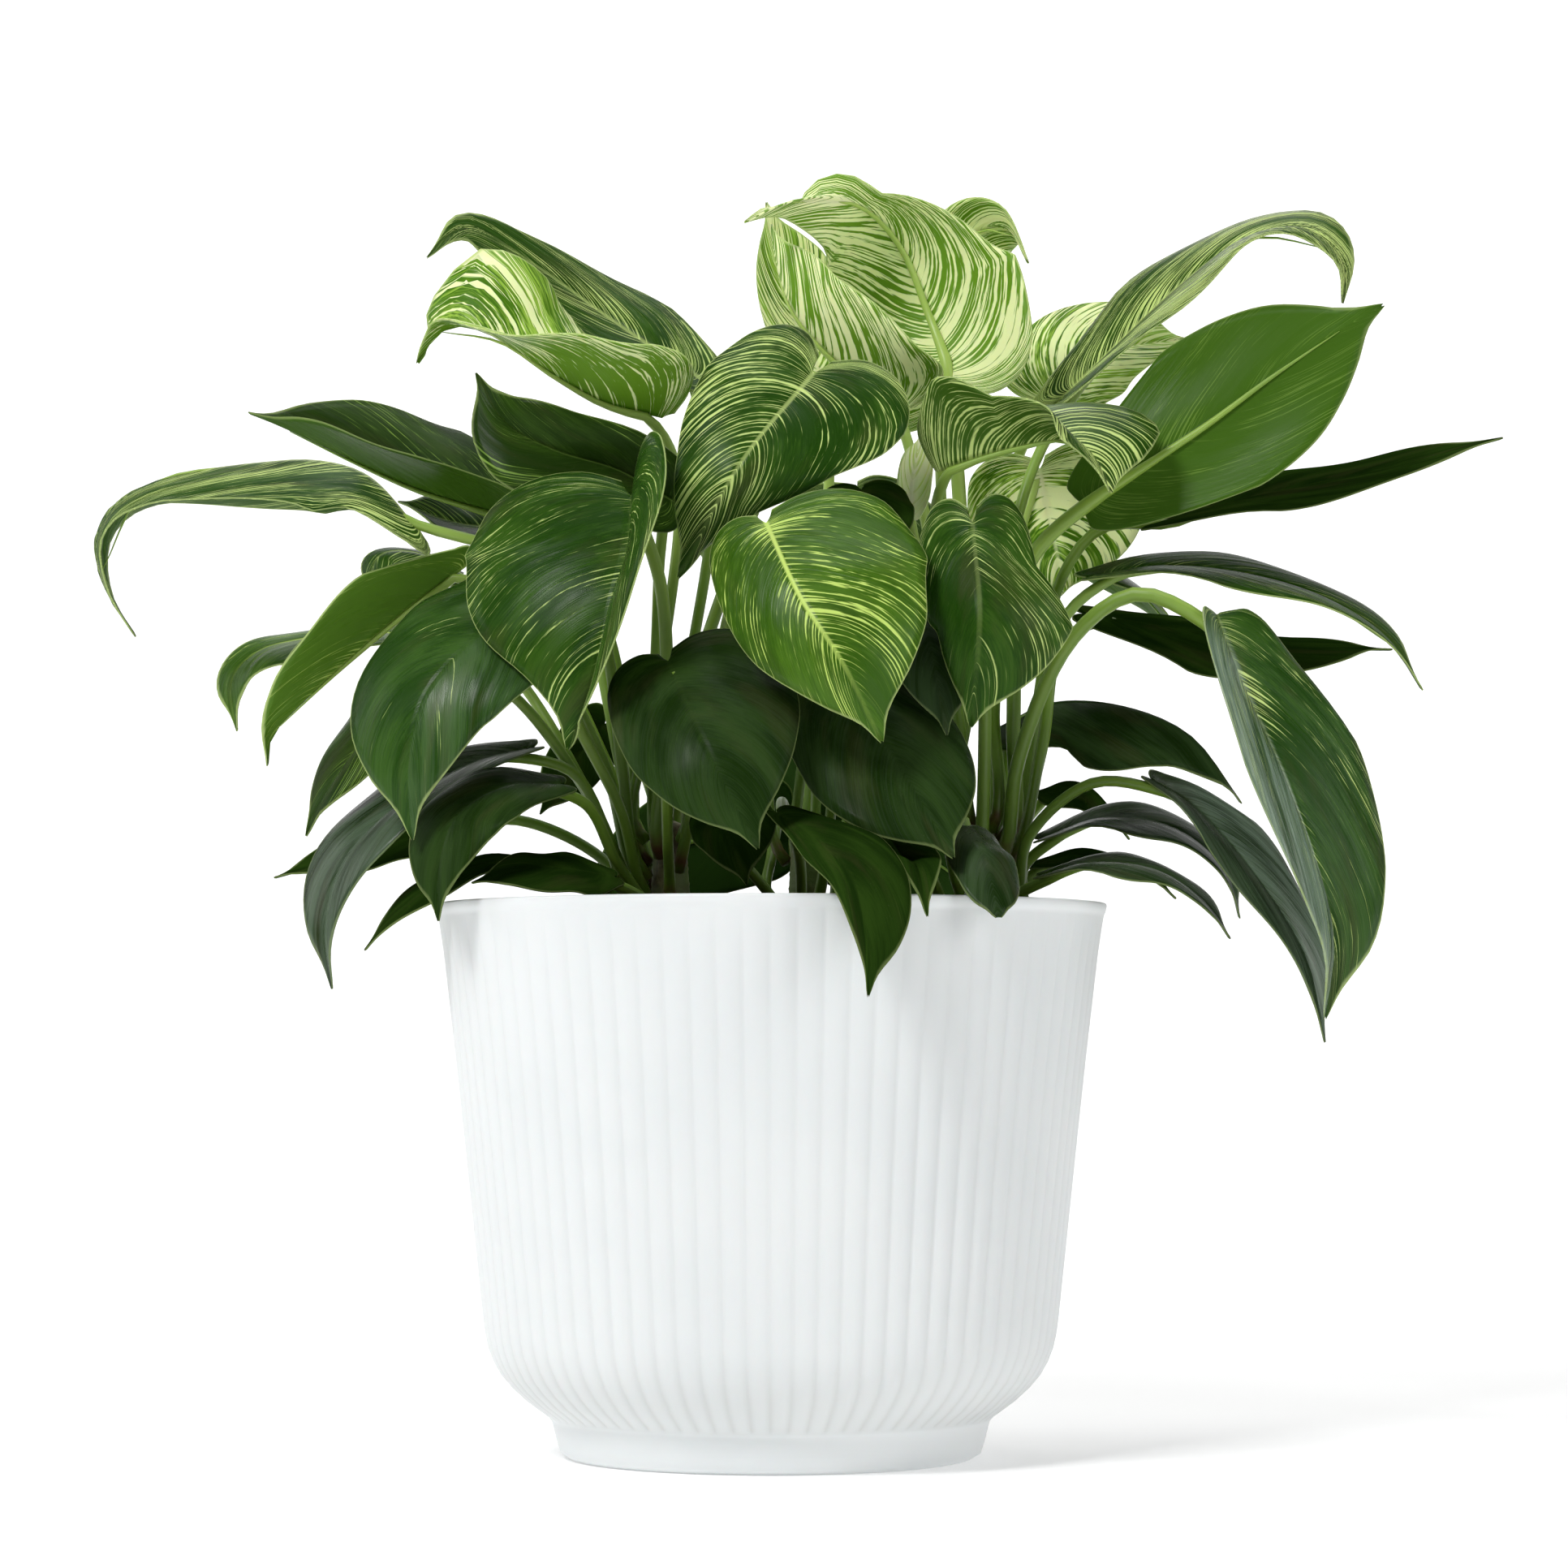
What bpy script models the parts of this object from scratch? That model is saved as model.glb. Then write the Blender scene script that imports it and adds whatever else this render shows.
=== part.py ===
"""A variegated philodendron in a fluted white pot.

Lengths in this file are millimetres, scaled to metres when the meshes are made. The origin is
the middle of the pot's foot, on the surface that it stands on. X runs to the right in the front
view, Y away from the viewer and Z up.
"""

import math

import bpy
import numpy as np
from mathutils import Vector

MM = 0.001

# The pot
RIM_RADIUS = 90.0
POT_HEIGHT = 147.0
FOOT_RADIUS = 54.3
FOOT_HEIGHT = 10.0
POT_WALL = 2.6
POT_FLOOR = 14.0
FLUTES = 80
FLUTE_DEPTH = 0.55
# Height and radius up the outside, and how much of the flutes' depth shows there
POT_OUTSIDE = (
    (0.0, FOOT_RADIUS, 0.0),
    (1.4, 56.0, 0.0),
    (FOOT_HEIGHT, 58.4, 0.0),
    (12.2, 61.2, 0.9),
    (16.0, 66.4, 1.0),
    (22.1, 71.9, 1.0),
    (32.6, 76.1, 1.0),
    (143.0, 89.0, 0.35),
    (POT_HEIGHT, RIM_RADIUS, 0.0),
)
POT_INSIDE = (
    (POT_HEIGHT, RIM_RADIUS - POT_WALL),
    (34.0, 73.0),
    (23.0, 68.6),
    (POT_FLOOR, 55.0),
)
INSIDE_FACETS = 40
SHARP_ANGLE = math.radians(40)

# The soil, the crowns that stand in it, and the room between touching pieces
CLEARANCE = 0.33
SOIL_TOP = 134.0
SOIL_ROUNDING = 1.5
CROWNS = {"left": (-27.0, 2.0), "right": (56.0, 6.0), "back": (10.0, 40.0)}
CROWN_RADIUS = 6.5
CROWN_TOP_RADIUS = 4.3
CROWN_HEIGHT = 34.0
CROWN_CAP_HEIGHT = 2.2
CROWN_CAP_SHARE = 0.6
CROWN_DEPTH = 12.0
HOLE_CLEARANCE = 0.36
HOLE_ABOVE_SOIL = 5.0
CROWN_FACETS = 12

# The leaves
BLADE_THICKNESS = 0.7
BLADE_ROW_STEP = 11.5
LEAST_BLADE_ROWS = 5
MOST_BLADE_ROWS = 7
HALF_BLADE_COLUMNS = 2
STALK_FACETS = 5
STALK_STEP = 32.0
ROOT_FLARE = 1.15
ROOT_RUN = 7.0
LEAST_STALK_STEPS = 4
STALK_END_RADIUS = 0.42
STALK_END_DEPTH = 0.2
TUBE_FACING = (0.13, 0.97, 0.2)
END_HALF_WIDTH = 0.7
TIP_SHARE = 0.12
VEIN_BEND = 0.56
RIB_STEPS = 60

# One half of a blade's margin, from the notch at the stalk round to the tip. Each row holds the
# vein's number from 0 to 1, where that vein leaves the rib as a share of the blade's length, how
# far across it meets the margin as a share of the half width, and how far along: backwards by a
# share of the lobe, forwards by shares of the belly and of the stretch from belly to tip.
HALF_MARGIN = (
    (0.00, 0.000, 0.07, 0.60, 0.00, 0.00),
    (0.09, 0.005, 0.32, 1.00, 0.00, 0.00),
    (0.18, 0.012, 0.62, 0.90, 0.00, 0.00),
    (0.28, 0.026, 0.86, 0.42, 0.12, 0.00),
    (0.38, 0.052, 0.97, 0.00, 0.50, 0.00),
    (0.46, 0.088, 1.00, 0.00, 1.00, 0.00),
    (0.58, 0.165, 0.97, 0.00, 1.00, 0.20),
    (0.68, 0.270, 0.88, 0.00, 1.00, 0.38),
    (0.78, 0.410, 0.70, 0.00, 1.00, 0.57),
    (0.86, 0.570, 0.44, 0.00, 1.00, 0.73),
    (0.93, 0.760, 0.145, 0.00, 1.00, 0.87),
    (1.00, 0.990, 0.012, 0.00, 1.00, 1.00),
)
BELLY_ROW = 5

# Base colour and roughness of each kind of leaf
LEAF_TONES = {
    "young": ((0.36, 0.50, 0.16), 0.42),
    "cream": ((0.72, 0.76, 0.48), 0.45),
    "bright": ((0.10, 0.26, 0.03), 0.38),
    "striped": ((0.05, 0.15, 0.03), 0.36),
    "plain": ((0.04, 0.13, 0.02), 0.36),
    "old": ((0.02, 0.07, 0.02), 0.34),
}


def leaf(name, crown, root, tone, stalk, rib, one_side, other_side, face, **shape):
    """One leaf by its own measures.

    root is the angle round the crown and the height above the soil where the stalk grows out,
    stalk the points that it passes, and rib the points of the midrib from the stalk to the tip.
    Each side lists places along the rib, as shares of its length, with the point of the margin
    abreast of each. face is roughly where the upper side looks at the base.
    belly is where the blade is widest, lobe how far its base reaches back, curl how far each
    half bends in degrees, wave the count and height of ripples, blunt and narrow round off the
    tip and draw in the base, and lean is the angle at which the stalk leaves the crown.
    """
    kind = {
        "belly": 0.25,
        "lobe": 0.12,
        "curl": -28.0,
        "wave": (2.0, 0.8),
        "blunt": 1.0,
        "narrow": 0.0,
        "lean": 55.0,
        "stalk_radii": (1.5, 1.5),
    }
    kind.update(shape)
    kind.update(name=name, crown=crown, root=root, tone=tone, stalk=stalk, rib=rib)
    kind.update(sides=(one_side, other_side), face=face)
    return kind


LEAVES = (
    # The left side, from the top down
    leaf("upper_left_back", "left", root=(80, 30), tone="striped",
         stalk=[(-24, 15, 200), (-16, 17, 262)],
         rib=[(-19, 8, 290), (-42.5, 22, 307.5), (-66.5, 24, 325), (-84, 18, 334),
              (-94, 8, 323.5)],
         one_side=[(0.25, (-33, 30, 318)), (0.7, (-76, 26, 337.5))],
         other_side=[(0.4, (-52, 18, 302))],
         face=(0, -0.6, 1), belly=0.35, lobe=0.06, narrow=0.4),
    leaf("left_bright", "left", root=(118, 28), tone="young",
         stalk=[(-31, 8, 200), (-25, 5, 262)],
         rib=[(-29, -12, 277), (-45, -14, 281), (-62, -13, 291), (-77.5, -11, 300.5),
              (-86.5, -8, 302), (-92, -5, 298), (-95.5, -2, 293)],
         one_side=[(0.1, (-31, -38, 294)), (0.33, (-50, -37, 295)), (0.53, (-69, -34, 296)),
                   (0.7, (-82, -24, 299))],
         other_side=[(0.08, (-35.5, 12, 300.5)), (0.4, (-50, 10, 302)), (0.58, (-59, 8, 310)),
                     (0.7, (-72, 5, 321.5)), (0.78, (-83, 4, 323)), (0.84, (-91, 2, 311))],
         face=(0, 0.1, 1), lobe=0.06),
    leaf("left_dark_upright", "left", root=(180, 30), tone="plain",
         stalk=[(-32, -3, 200), (-30, -9, 236)],
         rib=[(-26, -14, 254), (-41, -18, 262), (-57.5, -20, 267), (-71, -18, 275),
              (-79, -12, 289)],
         one_side=[(0.3, (-43, -24, 274.5)), (0.65, (-63.5, -22, 281))],
         other_side=[(0.3, (-47.5, -26, 251.5)), (0.65, (-71, -24, 258)), (0.85, (-78, -16, 276))],
         face=(0, -1, 0.3), belly=0.35, lobe=0.05),
    leaf("left_mid_long", "left", root=(150, 24), tone="plain",
         stalk=[(-38, 10, 190), (-50, 16, 235)],
         rib=[(-66, 16, 252), (-98, 17, 262), (-120, 17, 272), (-135, 16, 279), (-143, 14, 282)],
         one_side=[(0.12, (-80, -2, 266)), (0.35, (-101, -1, 269))],
         other_side=[(0.35, (-101, 34, 285))],
         face=(0, 0, 1), belly=0.35, lobe=0.06, narrow=0.5),
    leaf("left_hook", "left", root=(210, 20), tone="striped",
         stalk=[(-40, -6, 185), (-47, -12, 224), (-64, -18, 238)],
         rib=[(-93, -20, 245), (-107, -20, 260), (-120, -20, 264), (-135, -20, 263.5),
              (-153, -20, 261), (-166, -20, 257.5), (-175, -19, 252), (-179.5, -18, 243),
              (-177, -18, 231), (-168.5, -18, 217.5)],
         one_side=[(0.25, (-118.5, -34, 248.5)), (0.6, (-158.5, -28, 253.5))],
         other_side=[(0.25, (-120, -6, 251)), (0.6, (-160, -12, 254))],
         face=(-0.4, 0, 1), lobe=0.04, narrow=0.6),
    leaf("left_back_striped", "left", root=(125, 18), tone="striped",
         stalk=[(-40, 18, 180), (-54, 28, 235)],
         rib=[(-68, 31, 252), (-86, 30, 253), (-103, 26, 259)],
         one_side=[(0.25, (-86, 40, 263))],
         other_side=[(0.25, (-85, 18, 246))],
         face=(0, -0.4, 1)),
    leaf("front_left_striped", "left", root=(250, 26), tone="striped",
         stalk=[(-28, -11, 190), (-29, -22, 230)],
         rib=[(-36, -40, 252), (-37, -50, 236), (-41, -56, 221), (-46, -58, 200), (-52, -54, 185)],
         one_side=[(0.25, (-80, -38, 234))],
         other_side=[(0.25, (-28, -76, 243))],
         face=(-0.3, -1, 0.3), stalk_radii=(1.8, 1.7)),
    leaf("front_left_low", "left", root=(222, 14), tone="striped",
         stalk=[(-40, -16, 172), (-52, -25, 196), (-59, -29, 216)],
         rib=[(-63, -34, 226), (-75, -44, 216), (-89, -51, 199), (-93, -53, 180), (-92, -50, 162)],
         one_side=[(0.25, (-105, -32, 213))],
         other_side=[(0.25, (-67, -54, 196))],
         face=(-0.2, -1, 0.4)),
    leaf("left_long_narrow", "left", root=(172, 18), tone="bright",
         stalk=[(-45, 3, 185), (-68, -3, 225)],
         rib=[(-82, -4, 238), (-98, -4, 226), (-113, -4, 213), (-127, -4, 200), (-134, -4, 192),
              (-135, -4, 184)],
         one_side=[(0.4, (-120, -18, 223))],
         other_side=[(0.4, (-119, 9, 228))],
         face=(-0.65, 0, 0.75), belly=0.3, lobe=0.05, narrow=0.6),
    leaf("left_outer_small", "left", root=(160, 8), tone="bright",
         stalk=[(-50, 14, 178), (-78, 28, 218)],
         rib=[(-93, 31, 222), (-112, 33, 223), (-130, 31, 221), (-142, 27, 217), (-148, 23, 209),
              (-146, 19, 195)],
         one_side=[(0.7, (-155, 29, 211))],
         other_side=[(0.7, (-139, 14, 209))],
         face=(0, 0, 1), belly=0.4, lobe=0.04, narrow=0.6),
    leaf("left_small_bright", "left", root=(105, 14), tone="striped",
         stalk=[(-42, 26, 180), (-68, 28, 228)],
         rib=[(-86, 24, 239), (-98, 20, 244), (-107, 18, 243), (-110, 14, 232)],
         one_side=[(0.5, (-104, 28, 246))],
         other_side=[(0.5, (-102, 10, 236))],
         face=(0, 0, 1), lobe=0.05, narrow=0.4),
    leaf("low_left_glossy", "left", root=(202, 5), tone="old",
         stalk=[(-44, -8, 166), (-53, -10, 182)],
         rib=[(-65, -10, 188), (-79, -14, 184), (-98, -20, 173), (-112, -24, 158),
              (-117, -26, 141), (-115, -26, 124)],
         one_side=[(0.45, (-117, -10, 168))],
         other_side=[(0.45, (-101, -36, 160))],
         face=(-0.4, -0.4, 0.8), belly=0.35, lobe=0.04, narrow=0.6),
    leaf("low_left_back", "left", root=(138, 4), tone="old",
         stalk=[(-46, 20, 160), (-70, 25, 171)],
         rib=[(-86, 27, 170), (-106, 26, 164), (-122, 24, 159), (-136, 22, 155)],
         one_side=[(0.4, (-106, 38, 171))],
         other_side=[(0.4, (-104, 14, 158))],
         face=(0, 0, 1), lobe=0.04, narrow=0.6),
    leaf("left_behind_low", "left", root=(192, 13), tone="plain",
         stalk=[(-50, -5, 178), (-74, -8, 206)],
         rib=[(-90, -8, 208), (-101, -10, 200), (-112, -10, 186), (-120, -9, 174), (-124, -8, 165)],
         one_side=[(0.25, (-113, 2, 200))],
         other_side=[(0.25, (-98, -22, 190))],
         face=(-0.4, -0.8, 0.4), lobe=0.06, narrow=0.4),
    leaf("low_left_dark", "left", root=(236, 7), tone="old",
         stalk=[(-41, -19, 158), (-48, -29, 172)],
         rib=[(-55, -36, 177), (-69, -43, 176), (-81, -48, 168), (-85, -51, 155), (-85, -54, 141)],
         one_side=[(0.4, (-89, -36, 174))],
         other_side=[(0.4, (-71, -58, 163))],
         face=(-0.3, -0.5, 0.8), belly=0.35, lobe=0.05, narrow=0.5),
    leaf("low_left_over_rim", "left", root=(182, 2), tone="old",
         stalk=[(-47, -4, 153.5)],
         rib=[(-60, -18, 157), (-74, -22, 157), (-88, -27, 151), (-99, -30, 142), (-106, -32, 134)],
         one_side=[(0.4, (-84, -18, 157))],
         other_side=[(0.4, (-80, -34, 151))],
         face=(-0.2, -0.2, 1), belly=0.35, lobe=0.04, narrow=0.6),
    leaf("low_left_shaded", "left", root=(262, 3), tone="old",
         stalk=[(-34, -22, 148)],
         rib=[(-41, -34, 153), (-59, -43, 155), (-77, -48, 151)],
         one_side=[(0.35, (-52, -28, 159))],
         other_side=[(0.35, (-56, -52, 148.5))],
         face=(0, -0.3, 1), lobe=0.05, narrow=0.5),
    leaf("left_pale_back", "left", root=(85, 6), tone="old",
         stalk=[(-30, 26, 168), (-39, 34, 192)],
         rib=[(-46, 32, 198), (-55, 34, 187), (-64, 34, 173)],
         one_side=[(0.25, (-44, 34, 186))],
         other_side=[(0.25, (-62, 33, 192))],
         face=(-0.2, -1, 0.3)),
    # The middle, in front
    leaf("center_striped", "left", root=(300, 30), tone="striped",
         stalk=[(-22, 0, 200), (-6, 0, 250)],
         rib=[(11, -35, 285), (-8, -50, 259), (-24, -46, 230)],
         one_side=[(0.2, (-15, -33, 289)), (0.6, (-28, -42, 254))],
         other_side=[(0.05, (47, -36, 281)), (0.35, (17.5, -47, 258)), (0.65, (-4, -46, 248)),
                      (0.85, (-15, -44, 243))],
         face=(0.2, -0.8, 0.5), belly=0.2, lobe=0.15, stalk_radii=(1.8, 1.7)),
    leaf("front_bright", "left", root=(290, 22), tone="bright",
         stalk=[(-18, -18, 185), (-9, -42, 228)],
         rib=[(-1, -66, 242), (8, -80, 221), (18, -84, 205), (28, -80, 185)],
         one_side=[(0.25, (-13, -68, 221))],
         other_side=[(0.25, (38, -62, 238))],
         face=(0, -1, 0.35), lobe=0.09),
    leaf("center_dark", "left", root=(270, 14), tone="old",
         stalk=[(-27, -30, 165), (-27, -50, 200)],
         rib=[(-26, -62, 207), (-16, -80, 184), (-3, -86, 158)],
         one_side=[(0.25, (-40, -66, 189))],
         other_side=[(0.25, (6, -66, 201))],
         face=(0, -1, 0.25), lobe=0.1),
    leaf("center_right_dark", "right", root=(235, 14), tone="old",
         stalk=[(46, -16, 165), (26, -36, 200)],
         rib=[(18, -50, 204), (31, -66, 183), (46, -80, 156)],
         one_side=[(0.4, (9, -66, 176))],
         other_side=[(0.4, (49, -56, 189))],
         face=(0, -1, 0.25), belly=0.4, lobe=0.08),
    leaf("right_front_dark", "right", root=(272, 24), tone="striped",
         stalk=[(57, -9, 185), (56, -30, 230)],
         rib=[(52, -58, 243), (53, -72, 217), (51, -64, 190)],
         one_side=[(0.15, (37, -50, 240)), (0.6, (43, -60, 209))],
         other_side=[(0.2, (68, -56, 238)), (0.5, (77, -62, 214))],
         face=(-0.1, -1, 0.2), belly=0.35, lobe=0.16, stalk_radii=(1.8, 1.7)),
    leaf("over_rim_front", "back", root=(262, 4), tone="old",
         stalk=[(8, 10, 158), (3, -44, 172)],
         rib=[(2, -66, 168), (11, -85, 161), (20, -97, 151), (24, -103, 136), (24, -105, 121)],
         one_side=[(0.4, (11.5, -94, 153))],
         other_side=[(0.4, (36, -90, 153))],
         face=(-0.1, -0.7, 0.7), belly=0.38, lobe=0.06, narrow=0.55),
    leaf("over_rim_small", "right", root=(225, 4), tone="old",
         stalk=[(42, -16, 155), (35, -36, 166)],
         rib=[(30, -50, 163), (34, -66, 156), (37, -82, 153), (39, -93, 141)],
         one_side=[(0.4, (26, -68, 159))],
         other_side=[(0.4, (42, -65, 158))],
         face=(0, -0.6, 0.8), lobe=0.05, narrow=0.6),
    leaf("center_behind", "right", root=(235, 20), tone="old",
         stalk=[(46, -8, 185), (40, -24, 222)],
         rib=[(38, -42, 228), (42, -57, 207), (45, -63, 188)],
         one_side=[(0.25, (29, -50, 212))],
         other_side=[(0.25, (55, -48, 213))],
         face=(0, -1, 0.2)),
    leaf("center_small_dark", "back", root=(290, 14), tone="old",
         stalk=[(18, 10, 190), (22, -6, 245)],
         rib=[(24, -22, 256), (26, -38, 244), (28, -44, 232)],
         one_side=[(0.25, (12, -30, 247))],
         other_side=[(0.25, (38, -30, 249))],
         face=(0, -1, 0.4), lobe=0.14),
    leaf("round_over_rim", "right", root=(255, 4), tone="old",
         stalk=[(53, -22, 155), (50, -44, 167)],
         rib=[(50, -58, 165), (54, -72, 157), (57, -84, 141)],
         one_side=[(0.4, (45, -71, 156))],
         other_side=[(0.4, (62, -66, 155))],
         face=(0.1, -0.8, 0.5), belly=0.4, lobe=0.08, blunt=0.6),
    leaf("center_shaded_low", "back", root=(225, 8), tone="old",
         stalk=[(-10, 10, 162), (-17, -10, 174)],
         rib=[(-14, -22, 173), (-12, -42, 166), (-6, -60, 150)],
         one_side=[(0.25, (-20, -46, 161))],
         other_side=[(0.25, (2, -38, 168))],
         face=(0, -0.8, 0.6)),
    # The top
    leaf("top_big", "right", root=(140, 33), tone="young",
         stalk=[(53, 13, 200), (51, 11, 262)],
         rib=[(49, 4, 290), (45, 10, 303), (40, 12, 316), (35, 8, 327), (28, 0, 334),
              (16, -14, 336), (4, -22, 333), (-7, -26, 327)],
         one_side=[(0.25, (74, -2, 303)), (0.6, (42, 10, 335)), (0.8, (20, -4, 336))],
         other_side=[(0.25, (12, 16, 305)), (0.5, (8, 5, 317)), (0.7, (6.5, -20, 322))],
         face=(0, 1, 0.3), lobe=0.1, stalk_radii=(2.0, 1.9)),
    leaf("top_front_fold", "right", root=(180, 32), tone="young",
         stalk=[(47, 7, 200), (42, 3, 250)],
         rib=[(36, -8, 280), (25, -12, 286), (8, -14, 302), (2.5, -12, 315), (0, -6, 330)],
         one_side=[(0.35, (30, -28, 301.5)), (0.7, (14, -22, 316))],
         other_side=[(0.35, (20, 2, 304))],
         face=(0, 0, 1), belly=0.3, lobe=0.05),
    leaf("top_pale_behind", "back", root=(110, 24), tone="young",
         stalk=[(10, 44, 200), (16, 36, 265)],
         rib=[(16, 26, 290), (8, 28, 306), (2, 24, 324), (-1.5, 18, 341)],
         one_side=[(0.3, (0, 30, 303))],
         other_side=[(0.3, (22, 32, 308)), (0.7, (12, 27, 333))],
         face=(0, -1, 0.2)),
    leaf("top_right_behind", "right", root=(105, 32), tone="young",
         stalk=[(51, 28, 200), (47, 37, 270)],
         rib=[(47, 40, 298), (51, 42, 320), (57, 38, 336), (65, 31, 337), (71, 24, 325)],
         one_side=[(0.4, (40, 38, 325))],
         other_side=[(0.4, (65, 46, 321))],
         face=(0, 1, 0.3), belly=0.4, lobe=0.06),
    leaf("top_folded_front", "right", root=(252, 33), tone="striped",
         stalk=[(50, -5, 200), (43, -16, 243)],
         rib=[(44, -30, 260), (61, -36, 265), (78, -40, 267), (84, -44, 262), (88, -48, 252)],
         one_side=[(0.15, (44, -44, 287)), (0.35, (62, -46, 279)), (0.75, (75, -54, 263))],
         other_side=[(0.3, (60, -16, 275)), (0.75, (104, -28, 265))],
         face=(0, 0, 1), lobe=0.03, narrow=0.35),
    leaf("top_bright_behind", "right", root=(70, 26), tone="young",
         stalk=[(61, 24, 200), (67, 33, 268)],
         rib=[(76, 36, 289), (94, 38, 302), (116, 38, 306)],
         one_side=[(0.2, (79, 50, 316))],
         other_side=[(0.25, (96, 30, 289))],
         face=(-0.2, -0.6, 0.8)),
    leaf("top_right_arch", "right", root=(300, 33), tone="striped",
         stalk=[(60, -1, 200), (64, -3, 240), (72, 4, 268)],
         rib=[(80, 13, 286), (94, 16, 300), (112, 16, 317), (131, 12, 330), (146, 6, 331),
              (155, 1, 321), (154.5, -1, 309.5)],
         one_side=[(0.3, (91, 30, 313)), (0.7, (147, 18, 338))],
         other_side=[(0.3, (107, -3, 304)), (0.7, (133, -5, 326))],
         face=(-0.7, 0, 0.7), belly=0.35, lobe=0.06, narrow=0.4),
    leaf("new_leaf", "right", root=(212, 34), tone="cream",
         stalk=[(46, -3, 200), (40, -9, 235)],
         rib=[(37, -11, 250), (38, -12, 261), (40, -13, 272)],
         one_side=[(0.35, (34, -15, 262))],
         other_side=[(0.35, (43, -15, 262))],
         face=(0, -1, 0), belly=0.35, lobe=0.02, curl=110.0, narrow=0.5),
    leaf("right_bright_behind", "right", root=(48, 33), tone="young",
         stalk=[(61, 17, 200), (67, 21, 245)],
         rib=[(74, 25, 268), (77, 24, 252), (79, 21, 240), (79, 18, 232)],
         one_side=[(0.25, (53, 27, 262))],
         other_side=[(0.25, (104, 30, 258))],
         face=(0, -1, 0.3), lobe=0.15),
    # The right side, from the top down
    leaf("right_big", "right", root=(335, 30), tone="plain",
         stalk=[(65, -4, 195), (69, -10, 238)],
         rib=[(84, -12, 254), (97, -14, 262), (124, -16, 280), (141, -16, 293), (164, -14, 307)],
         one_side=[(0.42, (107, -6, 297))],
         other_side=[(0.42, (127, -24, 255))],
         face=(-0.3, 1, 0.2), belly=0.42, lobe=0.02, narrow=0.5, stalk_radii=(1.9, 2.0)),
    leaf("right_long_dark", "right", root=(10, 28), tone="old",
         stalk=[(72, 9, 200), (79, 12, 236), (90, 13, 250)],
         rib=[(104, 12, 251), (132, 16, 259), (166, 16, 266), (200, 14, 275)],
         one_side=[(0.4, (144, 32, 268))],
         other_side=[(0.4, (142, 6, 255))],
         face=(0, -0.3, 1), belly=0.35, lobe=0.04, narrow=0.6),
    leaf("right_arch", "right", root=(355, 22), tone="striped",
         stalk=[(73, 3, 190), (79, 3, 224)],
         rib=[(88, 5, 236), (105, 8, 239), (129, 9, 237), (151, 8, 230), (167, 6, 219),
              (176, 4, 205)],
         one_side=[(0.4, (122, 23, 244))],
         other_side=[(0.4, (124, -7, 232))],
         face=(0, 0, 1), belly=0.35, lobe=0.05, narrow=0.6),
    leaf("right_mid_back", "right", root=(30, 20), tone="old",
         stalk=[(74, 17, 190), (80, 25, 220)],
         rib=[(88, 30, 228), (112, 32, 224), (141, 30, 219), (171, 26, 218)],
         one_side=[(0.4, (122, 46, 227))],
         other_side=[(0.4, (122, 16, 210))],
         face=(0, 0, 1), belly=0.35, lobe=0.06, narrow=0.5),
    leaf("right_front_droop", "right", root=(312, 24), tone="striped",
         stalk=[(66, -10, 185), (80, -20, 217), (97, -27, 228)],
         rib=[(117, -30, 222), (122, -40, 205), (133, -48, 177), (142, -50, 150), (145, -48, 136),
              (143, -44, 116)],
         one_side=[(0.3, (119.5, -55, 187))],
         other_side=[(0.3, (151, -32, 193))],
         face=(0.2, -1, 0.3), belly=0.4, lobe=0.01, narrow=0.42, stalk_radii=(1.9, 2.0)),
    leaf("right_low_back", "right", root=(65, 14), tone="old",
         stalk=[(64, 27, 178)],
         rib=[(63, 34, 197), (78, 37, 204), (98, 38, 203), (116, 37, 195), (130, 34, 176)],
         one_side=[(0.4, (95, 54, 197))],
         other_side=[(0.4, (93, 25, 185))],
         face=(0, 0, 1), belly=0.3, lobe=0.06, narrow=0.5),
    leaf("right_low_long", "right", root=(330, 9), tone="old",
         stalk=[(69, -6, 165), (86, -13, 179)],
         rib=[(102, -16, 179), (111, -20, 173), (127, -26, 154), (140, -28, 132), (145, -28, 110)],
         one_side=[(0.35, (128, -16, 168))],
         other_side=[(0.35, (115, -31, 160))],
         face=(0.3, -0.4, 0.8), belly=0.3, lobe=0.04, narrow=0.6),
    leaf("right_low_pale", "right", root=(58, 7), tone="old",
         stalk=[(67, 27, 166)],
         rib=[(74, 32, 178), (87, 34, 180), (99, 34, 166)],
         one_side=[(0.25, (86, 48, 183))],
         other_side=[(0.25, (84, 18, 172))],
         face=(0, 0, 1), lobe=0.04, narrow=0.4),
    leaf("right_low_arch", "right", root=(358, 5), tone="old",
         stalk=[(68, 3, 157)],
         rib=[(74, 0, 165), (89, -3, 170), (108, -5, 167), (121, -7, 156), (125, -8, 143)],
         one_side=[(0.4, (100, 8, 174))],
         other_side=[(0.4, (98, -18, 165))],
         face=(0, 0, 1), belly=0.35, lobe=0.05, narrow=0.6),
    leaf("right_low_inner", "right", root=(30, 3), tone="old",
         stalk=[(67, 13, 151)],
         rib=[(71, 14, 158), (87, 16, 161), (101, 16, 157), (110, 14, 149)],
         one_side=[(0.4, (91, 26, 162))],
         other_side=[(0.4, (90, 8, 157))],
         face=(0, 0, 1), lobe=0.04, narrow=0.6),
    leaf("right_low_front", "right", root=(310, 2), tone="old",
         stalk=[(64, -14, 148)],
         rib=[(72, -22, 154), (84, -26, 157), (101, -28, 155), (113, -30, 147), (120, -32, 137)],
         one_side=[(0.4, (96, -18, 159))],
         other_side=[(0.4, (92, -38, 153))],
         face=(0, 0, 1), belly=0.35, lobe=0.04, narrow=0.6),
    # The back, which the photograph hides
    leaf("back_left_high", "back", root=(150, 26), tone="plain",
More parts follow.
